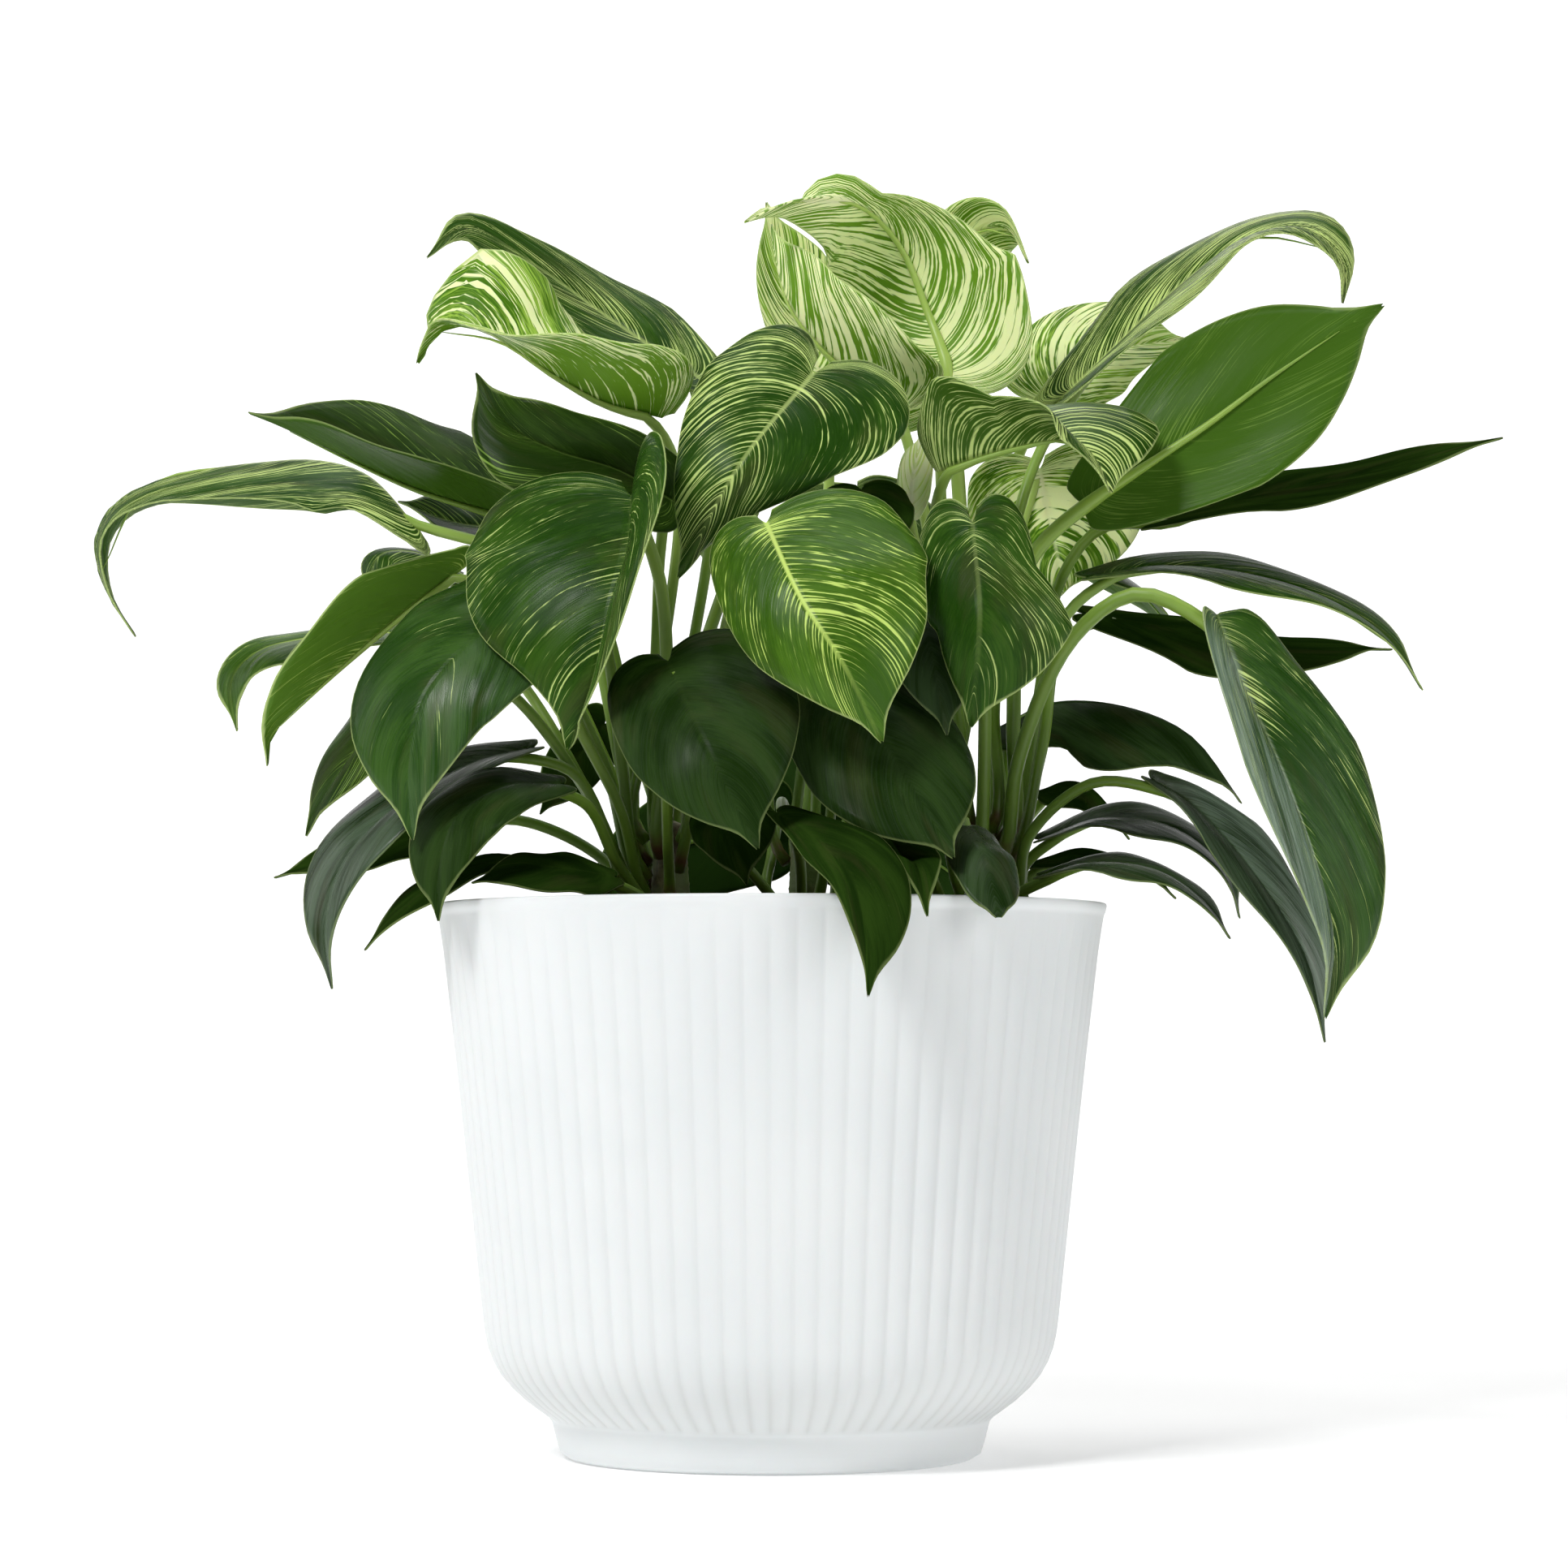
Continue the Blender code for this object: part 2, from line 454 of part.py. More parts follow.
         stalk=[(-4, 50, 210), (-20, 56, 250)],
         rib=[(-30, 60, 262), (-52, 70, 262), (-74, 78, 250), (-88, 82, 232)],
         one_side=[(0.25, (-48, 84, 262))],
         other_side=[(0.25, (-60, 50, 254))],
         face=(0, 0, 1)),
    leaf("back_middle_high", "back", root=(80, 26), tone="striped",
         stalk=[(14, 56, 210), (20, 66, 256)],
         rib=[(24, 74, 268), (28, 92, 262), (30, 108, 244), (30, 116, 222)],
         one_side=[(0.25, (5, 88, 256))],
         other_side=[(0.25, (50, 88, 258))],
         face=(0, 0.3, 1), lobe=0.15),
    leaf("back_right_high", "back", root=(30, 26), tone="plain",
         stalk=[(30, 48, 205), (52, 58, 240)],
         rib=[(64, 64, 250), (86, 72, 250), (108, 78, 238), (122, 82, 220)],
         one_side=[(0.25, (80, 86, 248))],
         other_side=[(0.25, (92, 54, 242))],
         face=(0, 0, 1)),
    leaf("back_left_low", "back", root=(170, 12), tone="old",
         stalk=[(0, 50, 162), (1, 60, 172)],
         rib=[(0, 67, 172), (-18, 74, 169), (-38, 80, 161), (-56, 84, 149)],
         one_side=[(0.25, (-13, 68, 187))],
         other_side=[(0.25, (-15, 72, 152))],
         face=(0, 1, 0.3)),
    leaf("back_middle_low", "back", root=(100, 10), tone="old",
         stalk=[(9, 58, 168), (9, 74, 192)],
         rib=[(-8, 88, 196), (-14, 106, 188), (-18, 118, 170), (-18, 122, 150)],
         one_side=[(0.25, (-34, 100, 186))],
         other_side=[(0.25, (10, 106, 184))],
         face=(0, 0.3, 1)),
    leaf("back_right_low", "back", root=(50, 10), tone="old",
         stalk=[(18, 52, 160), (17, 62, 170)],
         rib=[(18, 70, 171), (34, 78, 168), (50, 85, 160), (64, 90, 148)],
         one_side=[(0.25, (30, 70, 186))],
         other_side=[(0.25, (29, 75, 151))],
         face=(0, 1, 0.3)),
)


def unit(vector):
    """The vector at length 1."""
    vector = np.asarray(vector, float)
    return vector / np.linalg.norm(vector)


def smooth_line(points, count):
    """count + 1 evenly spaced points on a centripetal curve through the points."""
    points = np.asarray(points, float)
    ends = np.vstack([2 * points[0] - points[1], points, 2 * points[-1] - points[-2]])
    fine = []
    for a, b, c, d in zip(ends, ends[1:], ends[2:], ends[3:]):
        knots = [0.0]
        for start, end in ((a, b), (b, c), (c, d)):
            knots.append(knots[-1] + max(np.linalg.norm(end - start), 1e-6) ** 0.5)
        k0, k1, k2, k3 = knots
        t = np.linspace(k1, k2, 25)[:-1, None]
        ab = (k1 - t) / (k1 - k0) * a + (t - k0) / (k1 - k0) * b
        bc = (k2 - t) / (k2 - k1) * b + (t - k1) / (k2 - k1) * c
        cd = (k3 - t) / (k3 - k2) * c + (t - k2) / (k3 - k2) * d
        abc = (k2 - t) / (k2 - k0) * ab + (t - k0) / (k2 - k0) * bc
        bcd = (k3 - t) / (k3 - k1) * bc + (t - k1) / (k3 - k1) * cd
        fine.append((k2 - t) / (k2 - k1) * abc + (t - k1) / (k2 - k1) * bcd)
    fine = np.vstack([*fine, points[-1:]])
    steps = np.linalg.norm(np.diff(fine, axis=0), axis=1)
    along = np.concatenate([[0], np.cumsum(steps)])
    even = np.linspace(0, along[-1], count + 1)
    return np.stack([np.interp(even, along, fine[:, i]) for i in range(3)], axis=1)


def frames(line, face):
    """Tangents, face normals and left directions along a line, turning as little as they can."""
    tangents = np.gradient(line, axis=0)
    tangents /= np.linalg.norm(tangents, axis=1)[:, None]
    normals = [np.asarray(face, float)]
    for tangent in tangents:
        normals.append(unit(normals[-1] - tangent * (normals[-1] @ tangent)))
    normals = np.array(normals[1:])
    return tangents, normals, np.cross(normals, tangents)


class Blade:
    """The middle surface of one leaf's blade."""

    def __init__(self, leaf):
        self.leaf = leaf
        self.rib = smooth_line(leaf["rib"], RIB_STEPS)
        self.length = np.linalg.norm(np.diff(self.rib, axis=0), axis=1).sum()
        self.along, self.up, self.left = frames(self.rib, leaf["face"])
        self.sides = {}
        for marks in leaf["sides"]:
            self.add_side(marks)

    def add_side(self, marks):
        """Finds the tilt and the half width that bring one side's margin to its marks."""
        arms = []
        for share, point in marks:
            i = round(share * RIB_STEPS)
            arm = np.asarray(point, float) - self.rib[i]
            arms.append((arm @ self.left[i], arm @ self.up[i]))
        side = 1 if arms[0][0] > 0 else -1
        if side in self.sides:
            side = -side
        shares = [share for share, point in marks]
        tilts = [math.atan2(rise, out * side) for out, rise in arms]
        full = np.interp(shares, *self.width_along())
        widths = [math.hypot(*arm) / width for arm, width in zip(arms, full)]
        self.sides[side] = (shares, tilts, widths)

    def width_along(self):
        """Places from the belly to the tip, and the share of the half width at each."""
        rows = np.array(HALF_MARGIN)[BELLY_ROW:]
        belly = self.leaf["belly"]
        return belly * rows[:, 4] + (1 - belly) * rows[:, 5], rows[:, 2]

    def margin(self, vein):
        """Where a vein leaves the rib, how far across its end is, and how far along."""
        rows = np.array(HALF_MARGIN)
        belly = self.leaf["belly"]
        ahead = -rows[:, 3] * self.leaf["lobe"] + rows[:, 4] * belly + rows[:, 5] * (1 - belly)
        table = np.stack([rows[:, 1], rows[:, 2], ahead], axis=1)
        ends = np.vstack([2 * table[0] - table[1], table, 2 * table[-1] - table[-2]])
        place = np.interp(vein, rows[:, 0], np.arange(len(rows)))
        i = np.clip(place.astype(int), 0, len(rows) - 2)
        f = (place - i)[..., None]
        a, b, c, d = (ends[i + k] for k in range(4))
        cubic = (3 * b - a - 3 * c + d) * f**3 + (2 * a - 5 * b + 4 * c - d) * f**2
        start, across, ahead = np.moveaxis((cubic + (c - a) * f + 2 * b) / 2, -1, 0)
        drawn_in = 1 - self.leaf["narrow"] * (1 - np.clip(ahead / belly, 0, 1))
        across = np.maximum(across, 0) ** self.leaf["blunt"] * drawn_in
        return start * self.length, across, ahead * self.length

    def flat(self, outward, vein):
        """Share across and distance along of a place, by its share outward on its vein."""
        start, across, ahead = self.margin(vein)
        bend = VEIN_BEND * outward * (1 - outward) + outward**2
        return across * outward, start + (ahead - start) * bend

    def place(self, across, ahead, side):
        """The point of the surface at a flat place on the left (1) or the right (-1) half."""
        step = ahead / self.length * RIB_STEPS
        inside = np.clip(step, 0, RIB_STEPS)
        i = np.minimum(inside.astype(int), RIB_STEPS - 1)
        f = (inside - i)[..., None]
        lines = (self.rib, self.along, self.up, self.left)
        point, along, up, left = (line[i] * (1 - f) + line[i + 1] * f for line in lines)
        point = point + along * ((step - inside) * self.length / RIB_STEPS)[..., None]
        share = inside / RIB_STEPS
        shares, tilts, widths = self.sides[side]
        tilt = np.interp(share, shares, tilts) * np.clip((1 - share) / TIP_SHARE, 0, 1)
        curl = math.radians(self.leaf["curl"])
        radius = np.interp(share, shares, widths) / (2 * math.sin(curl / 2))
        start = tilt - curl / 2
        turn = start + curl * across
        ends = np.clip(np.maximum(1 - share * 8, share * 10 - 9), 0, 1)
        least = END_HALF_WIDTH * np.minimum(across * 30, 1) * ends
        out = radius * (np.sin(turn) - np.sin(start)) + least * np.cos(tilt)
        rise = radius * (np.cos(start) - np.cos(turn)) + least * np.sin(tilt)
        waves, height = self.leaf["wave"]
        rise = rise + height * np.sin(math.tau * waves * share + 1.3 + 2.1 * side) * across**2
        return point + left * (side * out)[..., None] + up * rise[..., None]


def blade_surface(blade, rows, columns):
    """Rows of points from the left margin over the rib to the right one, base to tip."""
    veins, outward = np.meshgrid(
        np.linspace(0, 1, rows + 1), np.linspace(0, 1, columns + 1), indexing="ij"
    )
    across, ahead = blade.flat(outward, veins)
    left, right = blade.place(across, ahead, 1), blade.place(across, ahead, -1)
    return np.concatenate([left[:, ::-1], right[:, 1:]], axis=1).reshape(-1, 3)


def blade_triangles(rows, columns):
    """Triangles of one face of a blade, alike on both sides of the rib."""
    width = 2 * columns + 1
    triangles = []
    for row in range(rows):
        for column in range(width - 1):
            a = row * width + column
            b, c, d = a + 1, a + 1 + width, a + width
            triangles += ((a, b, d), (b, c, d)) if column < columns else ((a, b, c), (a, c, d))
    return triangles


def blade_mesh(blade, rows, columns):
    """Closed mesh of a blade, split into triangles alike on both faces."""
    middle = blade_surface(blade, rows, columns)
    triangles = blade_triangles(rows, columns)
    normals = np.zeros_like(middle)
    for a, b, c in triangles:
        facing = unit(np.cross(middle[b] - middle[a], middle[c] - middle[a]))
        for i in (a, b, c):
            normals[i] += facing
    normals /= np.linalg.norm(normals, axis=1)[:, None]
    upper = middle + normals * BLADE_THICKNESS / 2
    lower = middle - normals * BLADE_THICKNESS / 2
    count = len(middle)
    width = 2 * columns + 1
    faces = list(triangles)
    faces += [(count + c, count + b, count + a) for a, b, c in triangles]
    border = list(range(width))
    border += [row * width + width - 1 for row in range(1, rows + 1)]
    border += [rows * width + column for column in range(width - 2, -1, -1)]
    border += [row * width for row in range(rows - 1, 0, -1)]
    for a, b in zip(border, border[1:] + border[:1]):
        faces += [(a, count + a, b), (b, count + a, count + b)]
    return np.vstack([upper, lower]), faces


def tube_mesh(line, radii, facets):
    """Closed mesh of a round tube along a line."""
    _, up, left = frames(line, TUBE_FACING)
    angle = np.arange(facets) * math.tau / facets
    ring = np.cos(angle)[None, :, None] * up[:, None] + np.sin(angle)[None, :, None] * left[:, None]
    points = (line[:, None] + ring * np.asarray(radii)[:, None, None]).reshape(-1, 3)
    faces = []
    for row in range(len(line) - 1):
        for column in range(facets):
            a = row * facets + column
            b = row * facets + (column + 1) % facets
            faces += [(a, b + facets, b), (a, a + facets, b + facets)]
    last = (len(line) - 1) * facets
    for column in range(1, facets - 1):
        faces.append((0, column, column + 1))
        faces.append((last, last + column + 1, last + column))
    return points, faces


def crown_radius(height):
    """Radius of a crown at a height above the soil."""
    taper = (CROWN_RADIUS - CROWN_TOP_RADIUS) / CROWN_HEIGHT
    return CROWN_RADIUS - taper * max(0.0, height)


def stalk_root(leaf):
    """The first two points of a stalk, just clear of its crown."""
    x, y = CROWNS[leaf["crown"]]
    angle, height = leaf["root"]
    outward = np.array([math.cos(math.radians(angle)), math.sin(math.radians(angle)), 0.0])
    lean = math.radians(leaf["lean"])
    radius = leaf["stalk_radii"][0] * ROOT_FLARE
    gap = crown_radius(height) + CLEARANCE + radius * math.sin(lean)
    start = np.array([x, y, SOIL_TOP + height]) + outward * gap
    rising = outward * math.cos(lean) + np.array([0.0, 0.0, math.sin(lean)])
    return [start, start + rising * ROOT_RUN]


def stalk_line(leaf, blade, rows):
    """Middle line and radii of a stalk, from its root to a vein's foot under the rib."""
    base, top = leaf["stalk_radii"]
    reach = blade.margin(np.array(1 - 2 / rows))[0] / blade.length
    under = []
    for share, depth in ((0.25, 0.87 * top), (0.6, 0.69 * top), (1.0, STALK_END_DEPTH)):
        i = round(share * reach * RIB_STEPS)
        under.append(blade.rib[i] - blade.up[i] * depth)
    points = [*stalk_root(leaf), *leaf["stalk"], *under]
    length = np.linalg.norm(np.diff(np.array(points), axis=0), axis=1).sum()
    count = max(LEAST_STALK_STEPS, round(length / STALK_STEP) + 2)
    tail = min(reach * blade.length / length, 0.6)
    places = [0, 0.2, 1 - tail, 1 - tail * 0.45, 1]
    sizes = [base * ROOT_FLARE, base, top, top * 0.7, STALK_END_RADIUS]
    return smooth_line(points, count), np.interp(np.linspace(0, 1, count + 1), places, sizes)


def material(name, colour, roughness):
    """A Principled material of one colour."""
    made = bpy.data.materials.new(name)
    made.use_nodes = True
    shader = made.node_tree.nodes["Principled BSDF"]
    shader.inputs["Base Color"].default_value = (*colour, 1.0)
    shader.inputs["Roughness"].default_value = roughness
    shader.inputs["Metallic"].default_value = 0.0
    return made


def add_object(name, points, faces, finish=None):
    """A mesh object from points in millimetres."""
    mesh = bpy.data.meshes.new(name)
    mesh.from_pydata([Vector(point) * MM for point in points], [], faces)
    mesh.shade_smooth()
    mesh.set_sharp_from_angle(angle=SHARP_ANGLE)
    if finish:
        mesh.materials.append(finish)
    made = bpy.data.objects.new(name, mesh)
    bpy.context.scene.collection.objects.link(made)
    return made


def boolean(target, tool, operation):
    """Applies one Boolean to the target and removes the tool."""
    modifier = target.modifiers.new(operation, "BOOLEAN")
    modifier.operation = operation
    modifier.object = tool
    depsgraph = bpy.context.evaluated_depsgraph_get()
    result = bpy.data.meshes.new_from_object(target.evaluated_get(depsgraph))
    target.modifiers.clear()
    target.data = result
    bpy.data.objects.remove(tool)


def ring(radius, height, facets, swell=0.0):
    """Points of a level ring; swell lifts every second point outwards and sinks the others."""
    points = []
    for i in range(facets):
        angle = math.tau * i / facets
        reach = radius + (swell if i % 2 else -swell)
        points.append((reach * math.cos(angle), reach * math.sin(angle), height))
    return points


def join_rings(faces, lower, upper, facets):
    """Quads between two rings of as many points, looking outwards."""
    for i in range(facets):
        j = (i + 1) % facets
        faces.append((lower + i, lower + j, upper + j, upper + i))


def join_finer(faces, fine, coarse, facets, step):
    """Triangles between a ring and one of step times fewer points."""
    for i in range(facets):
        j = (i + 1) % facets
        here, there = coarse + i // step, coarse + (i // step + 1) % (facets // step)
        if i % step < step - 1:
            faces.append((fine + i, fine + j, here))
        else:
            faces += [(fine + i, fine + j, there), (fine + i, there, here)]


def make_pot():
    """The planter: fluted outside, plain inside, on a smooth foot with a flat underside."""
    columns = 2 * FLUTES
    points = []
    faces = []
    for height, radius, share in POT_OUTSIDE:
        points += ring(radius - FLUTE_DEPTH / 2 * share, height, columns, FLUTE_DEPTH / 2 * share)
    for row in range(len(POT_OUTSIDE) - 1):
        join_rings(faces, row * columns, (row + 1) * columns, columns)
    step = columns // INSIDE_FACETS
    inside = len(points)
    for height, radius in POT_INSIDE:
        points += ring(radius, height, INSIDE_FACETS)
    join_finer(faces, inside - columns, inside, columns, step)
    for row in range(len(POT_INSIDE) - 1):
        start = inside + row * INSIDE_FACETS
        join_rings(faces, start, start + INSIDE_FACETS, INSIDE_FACETS)
    last = len(points) - INSIDE_FACETS
    faces.append(tuple(range(last, last + INSIDE_FACETS)))
    faces.append(tuple(reversed(range(columns))))
    return add_object("pot", points, faces, material("pot plastic", (0.85, 0.88, 0.88), 0.4))


def turned(name, profile, facets, centre=(0.0, 0.0), finish=None):
    """A closed turned solid from heights and radii, bottom to top."""
    points = []
    faces = [tuple(reversed(range(facets)))]
    for height, radius in profile:
        points += [(x + centre[0], y + centre[1], z) for x, y, z in ring(radius, height, facets)]
    for row in range(len(profile) - 1):
        join_rings(faces, row * facets, (row + 1) * facets, facets)
    last = len(points) - facets
    faces.append(tuple(range(last, last + facets)))
    return add_object(name, points, faces, finish)


def make_soil():
    """The potting mix, with a plain hole for each crown."""
    top, *rest = POT_INSIDE
    below = [(height + CLEARANCE, radius - CLEARANCE) for height, radius in reversed(rest)]
    wall = [below[-1][0], top[0]]
    edge = np.interp(SOIL_TOP, wall, [below[-1][1], top[1] - CLEARANCE])
    profile = [*below, (SOIL_TOP - SOIL_ROUNDING, edge), (SOIL_TOP, edge - 2 * SOIL_ROUNDING)]
    soil = turned("soil", profile, INSIDE_FACETS, (0, 0), material("soil", (0.03, 0.02, 0.015), 0.95))
    for name, centre in CROWNS.items():
        hole = [(SOIL_TOP - CROWN_DEPTH - CLEARANCE, CROWN_RADIUS + HOLE_CLEARANCE)]
        hole.append((SOIL_TOP + HOLE_ABOVE_SOIL, CROWN_RADIUS + HOLE_CLEARANCE))
        boolean(soil, turned("hole " + name, hole, CROWN_FACETS, centre), "DIFFERENCE")
    return soil


def make_crown(name, centre):
    """A short upright stem that the stalks of one growing point stand round."""
    profile = (
        (SOIL_TOP - CROWN_DEPTH, CROWN_RADIUS),
        (SOIL_TOP, CROWN_RADIUS),
        (SOIL_TOP + CROWN_HEIGHT, CROWN_TOP_RADIUS),
        (SOIL_TOP + CROWN_HEIGHT + CROWN_CAP_HEIGHT, CROWN_TOP_RADIUS * CROWN_CAP_SHARE),
    )
    finish = material("crown " + name, (0.16, 0.20, 0.06), 0.5)
    return turned("crown_" + name, profile, CROWN_FACETS, centre, finish)


def make_leaf(leaf):
    """A blade with its stalk fused on."""
    blade = Blade(leaf)
    rows = min(max(round(blade.length / BLADE_ROW_STEP), LEAST_BLADE_ROWS), MOST_BLADE_ROWS)
    name = "leaf_" + leaf["name"]
    colour, roughness = LEAF_TONES[leaf["tone"]]
    points, faces = blade_mesh(blade, rows, HALF_BLADE_COLUMNS)
    made = add_object(name, points, faces, material(name, colour, roughness))
    line, radii = stalk_line(leaf, blade, rows)
    boolean(made, add_object("stalk", *tube_mesh(line, radii, STALK_FACETS)), "UNION")
    return made


def main():
    """Clears the scene and makes every piece."""
    for old in list(bpy.data.objects):
        bpy.data.objects.remove(old)
    make_pot()
    make_soil()
    for name, centre in CROWNS.items():
        make_crown(name, centre)
    for entry in LEAVES:
        make_leaf(entry)


main()
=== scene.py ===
"""The look of the potted philodendron: fine leaves with their veins and stripes, the fluted pot,
the soil, and the light and camera of the photograph.

Lengths are millimetres here, scaled to metres when the meshes are made, in the frame of the
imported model: the origin is the middle of the pot's foot, X to the right, Y away and Z up. Only
the lights and the backdrop are in metres.
"""

import math
import random
from types import SimpleNamespace

import bpy
import numpy as np
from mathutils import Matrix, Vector

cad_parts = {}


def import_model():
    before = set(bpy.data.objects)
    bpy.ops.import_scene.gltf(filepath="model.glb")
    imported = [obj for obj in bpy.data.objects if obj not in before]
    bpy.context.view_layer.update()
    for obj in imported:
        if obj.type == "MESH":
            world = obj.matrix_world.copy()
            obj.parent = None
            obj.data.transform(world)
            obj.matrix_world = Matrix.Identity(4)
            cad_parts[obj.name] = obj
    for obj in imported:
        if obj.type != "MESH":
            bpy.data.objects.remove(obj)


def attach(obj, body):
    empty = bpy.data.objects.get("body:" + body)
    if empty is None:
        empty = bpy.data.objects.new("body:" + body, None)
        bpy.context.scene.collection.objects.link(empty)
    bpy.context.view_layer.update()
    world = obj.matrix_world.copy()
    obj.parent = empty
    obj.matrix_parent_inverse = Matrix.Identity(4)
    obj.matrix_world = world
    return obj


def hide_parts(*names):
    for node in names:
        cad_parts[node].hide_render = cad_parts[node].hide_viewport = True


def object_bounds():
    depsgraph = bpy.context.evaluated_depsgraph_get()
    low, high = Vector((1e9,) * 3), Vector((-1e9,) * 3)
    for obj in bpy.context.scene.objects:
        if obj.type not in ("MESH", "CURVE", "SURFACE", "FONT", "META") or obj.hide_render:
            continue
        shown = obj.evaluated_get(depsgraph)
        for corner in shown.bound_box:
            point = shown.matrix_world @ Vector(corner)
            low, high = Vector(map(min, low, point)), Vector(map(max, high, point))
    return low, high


MM = 0.001

# The camera
CAMERA_PLACE = (3.5, -1185.0, 109.0)
CAMERA_TILT = 3.4
PHOTO_PIXELS = 1932
FOCAL_PIXELS = 5440
SENSOR_WIDTH = 36.0

# The lamps, in metres and watts: name, place, the point that it faces, side length, power
LAMPS = (
    ("key", (-0.8, -1.2, 1.4), (0, 0, 0.2), 0.5, 21),
    ("side", (-1.5, 0.2, 0.8), (0, 0, 0.2), 1.0, 6),
    ("fill", (1.4, -0.9, 0.7), (0, 0, 0.2), 1.0, 8),
    ("top", (0.1, 0.1, 1.7), (0, 0, 0.2), 0.9, 8),
    ("wall", (0, 1.2, 2.2), (0, 3.0, 0.9), 1.5, 38),
)
ROOM_LIGHT = 0.07

# The backdrop, in metres: a floor that bends up into a wall
BACKDROP_HALF_WIDTH = 4.0
FLOOR_FRONT = -3.0
BEND_START = 2.2
BEND_RADIUS = 0.8
BEND_STEPS = 12
WALL_TOP = 4.0
BACKDROP_GLOW = 0.25

# The pot, with the same sizes as its solid
RIM_RADIUS = 90.0
POT_HEIGHT = 147.0
FOOT_RADIUS = 54.3
FOOT_HEIGHT = 10.0
POT_WALL = 2.6
POT_FLOOR = 14.0
FLUTES = 80
FLUTE_DEPTH = 0.55
FLUTE_ROUNDNESS = 0.8
COLUMNS_PER_FLUTE = 12
POT_ROW_HEIGHT = 6

# Height and radius up the outside, and how much of the flutes' depth shows there
POT_OUTSIDE = (
    (0.0, FOOT_RADIUS - 1.0, 0.0), (0.25, FOOT_RADIUS - 0.2, 0.0), (1.4, 56.0, 0.0),
    (4.8, 57.1, 0.0), (8.2, 57.9, 0.0), (FOOT_HEIGHT - 0.4, 58.3, 0.0),
    (FOOT_HEIGHT + 0.2, 58.7, 0.0), (10.9, 59.3, 0.25), (11.5, 60.1, 0.8), (12.4, 61.4, 1.0),
    (13.6, 63.0, 1.0), (15.2, 65.2, 1.0), (18.7, 69.0, 1.0), (22.1, 71.9, 1.0),
    (25.6, 73.9, 1.0), (29.1, 75.3, 1.0), (32.6, 76.1, 1.0), (36.9, 76.7, 1.0),
    (54.3, 78.6, 1.0), (80.3, 81.4, 1.0), (106.4, 84.3, 0.95), (124.0, 86.4, 0.8),
    (134.0, 87.6, 0.6), (140.0, 88.5, 0.35), (143.0, 89.0, 0.15), (144.2, 89.25, 0.0),
    (144.6, 89.55, 0.0), (146.3, 89.9, 0.0), (146.8, 89.8, 0.0), (POT_HEIGHT, 89.3, 0.0),
)
# Height and radius down the inside
POT_INSIDE = (
    (POT_HEIGHT, 88.2), (POT_HEIGHT - 0.5, RIM_RADIUS - POT_WALL), (34.0, 73.0), (23.0, 68.6),
    (POT_FLOOR, 55.0),
)

# The soil, and the room between touching pieces
CLEARANCE = 0.33
SOIL_TOP = 134.0
SOIL_DIP = 2.0
SOIL_UNEVEN = 0.6
SOIL_SEED = 7
SOIL_RINGS = 60
SOIL_SPOKES = 150
CRUMBS = 900
CRUMB_SIZES = (0.5, 1.7)

# The crowns that stand in the soil, by their middles
CROWNS = {"left": (-27.0, 2.0), "right": (56.0, 6.0), "back": (10.0, 40.0)}
CROWN_RADIUS = 6.5
CROWN_TOP_RADIUS = 4.3
CROWN_HEIGHT = 34.0
CROWN_BURIED = 12.0
CROWN_DOME = 1.6
CROWN_COLUMNS = 28
CROWN_ROWS = 60
CROWN_INSET = 0.25
SCAR_HEIGHT = 0.18
SCAR_TURN = 1.6
LUMPS = 5
LUMP_HEIGHT = 0.12

# The blades. Shares are of a blade's length.
BLADE_THICKNESS = 0.7
EDGE_THICKNESS = 0.4
THINNING_WIDTH = 2.5
BLADE_ROWS = 46
HALF_BLADE_COLUMNS = 12
COLUMN_CROWDING = 1.15
RIB_STEPS = 60
END_HALF_WIDTH = 0.12
TIP_SHARE = 0.12
RIPPLES = 2.0
RIPPLE_HEIGHT = 0.8
RIPPLE_START = 1.3
RIPPLE_SIDE_SHIFT = 2.1
VEIN_BEND = 0.56
VEIN_SWEEP = 0.36
SWEEP_POWER = 1.6

# The stalks, and the ribs that they run on as, with how far below the blade a rib's middle lies
# along it in shares of the stalk's radius
STALK_FACETS = 12
STALK_POINTS = 40
STALK_LEAN = 55.0
ROOT_FLARE = 1.15
ROOT_RUN = 7.0
FLARE_SHARE = 0.12
RIB_REACH = 0.85
RIB_DEPTHS = ((0.05, 0.8), (0.12, 0.66), (0.22, 0.56), (0.4, 0.5), (0.62, 0.42), (0.85, 0.3))
RIB_END_RADIUS = 0.12
TUBE_FACING = (0.13, 0.97, 0.2)
STREAK_SPREAD = 8

# One half of a blade's margin, from the notch at the stalk round to the tip. Each row holds the
# vein's number from 0 to 1, where that vein leaves the rib as a share of the blade's length, how
# far across it meets the margin as a share of the half width, and how far along: backwards by a
# share of the lobe, forwards by shares of the belly and of the stretch from belly to tip.
HALF_MARGIN = (
    (0.00, 0.000, 0.07, 0.60, 0.00, 0.00),
    (0.09, 0.005, 0.32, 1.00, 0.00, 0.00),
    (0.18, 0.012, 0.62, 0.90, 0.00, 0.00),
    (0.28, 0.026, 0.86, 0.42, 0.12, 0.00),
    (0.38, 0.052, 0.97, 0.00, 0.50, 0.00),
    (0.46, 0.088, 1.00, 0.00, 1.00, 0.00),
    (0.58, 0.165, 0.97, 0.00, 1.00, 0.20),
    (0.68, 0.270, 0.88, 0.00, 1.00, 0.38),
    (0.78, 0.410, 0.70, 0.00, 1.00, 0.57),
    (0.86, 0.570, 0.44, 0.00, 1.00, 0.73),
    (0.93, 0.760, 0.145, 0.00, 1.00, 0.87),
    (1.00, 0.990, 0.012, 0.00, 1.00, 1.00),
)
BELLY_ROW = 5

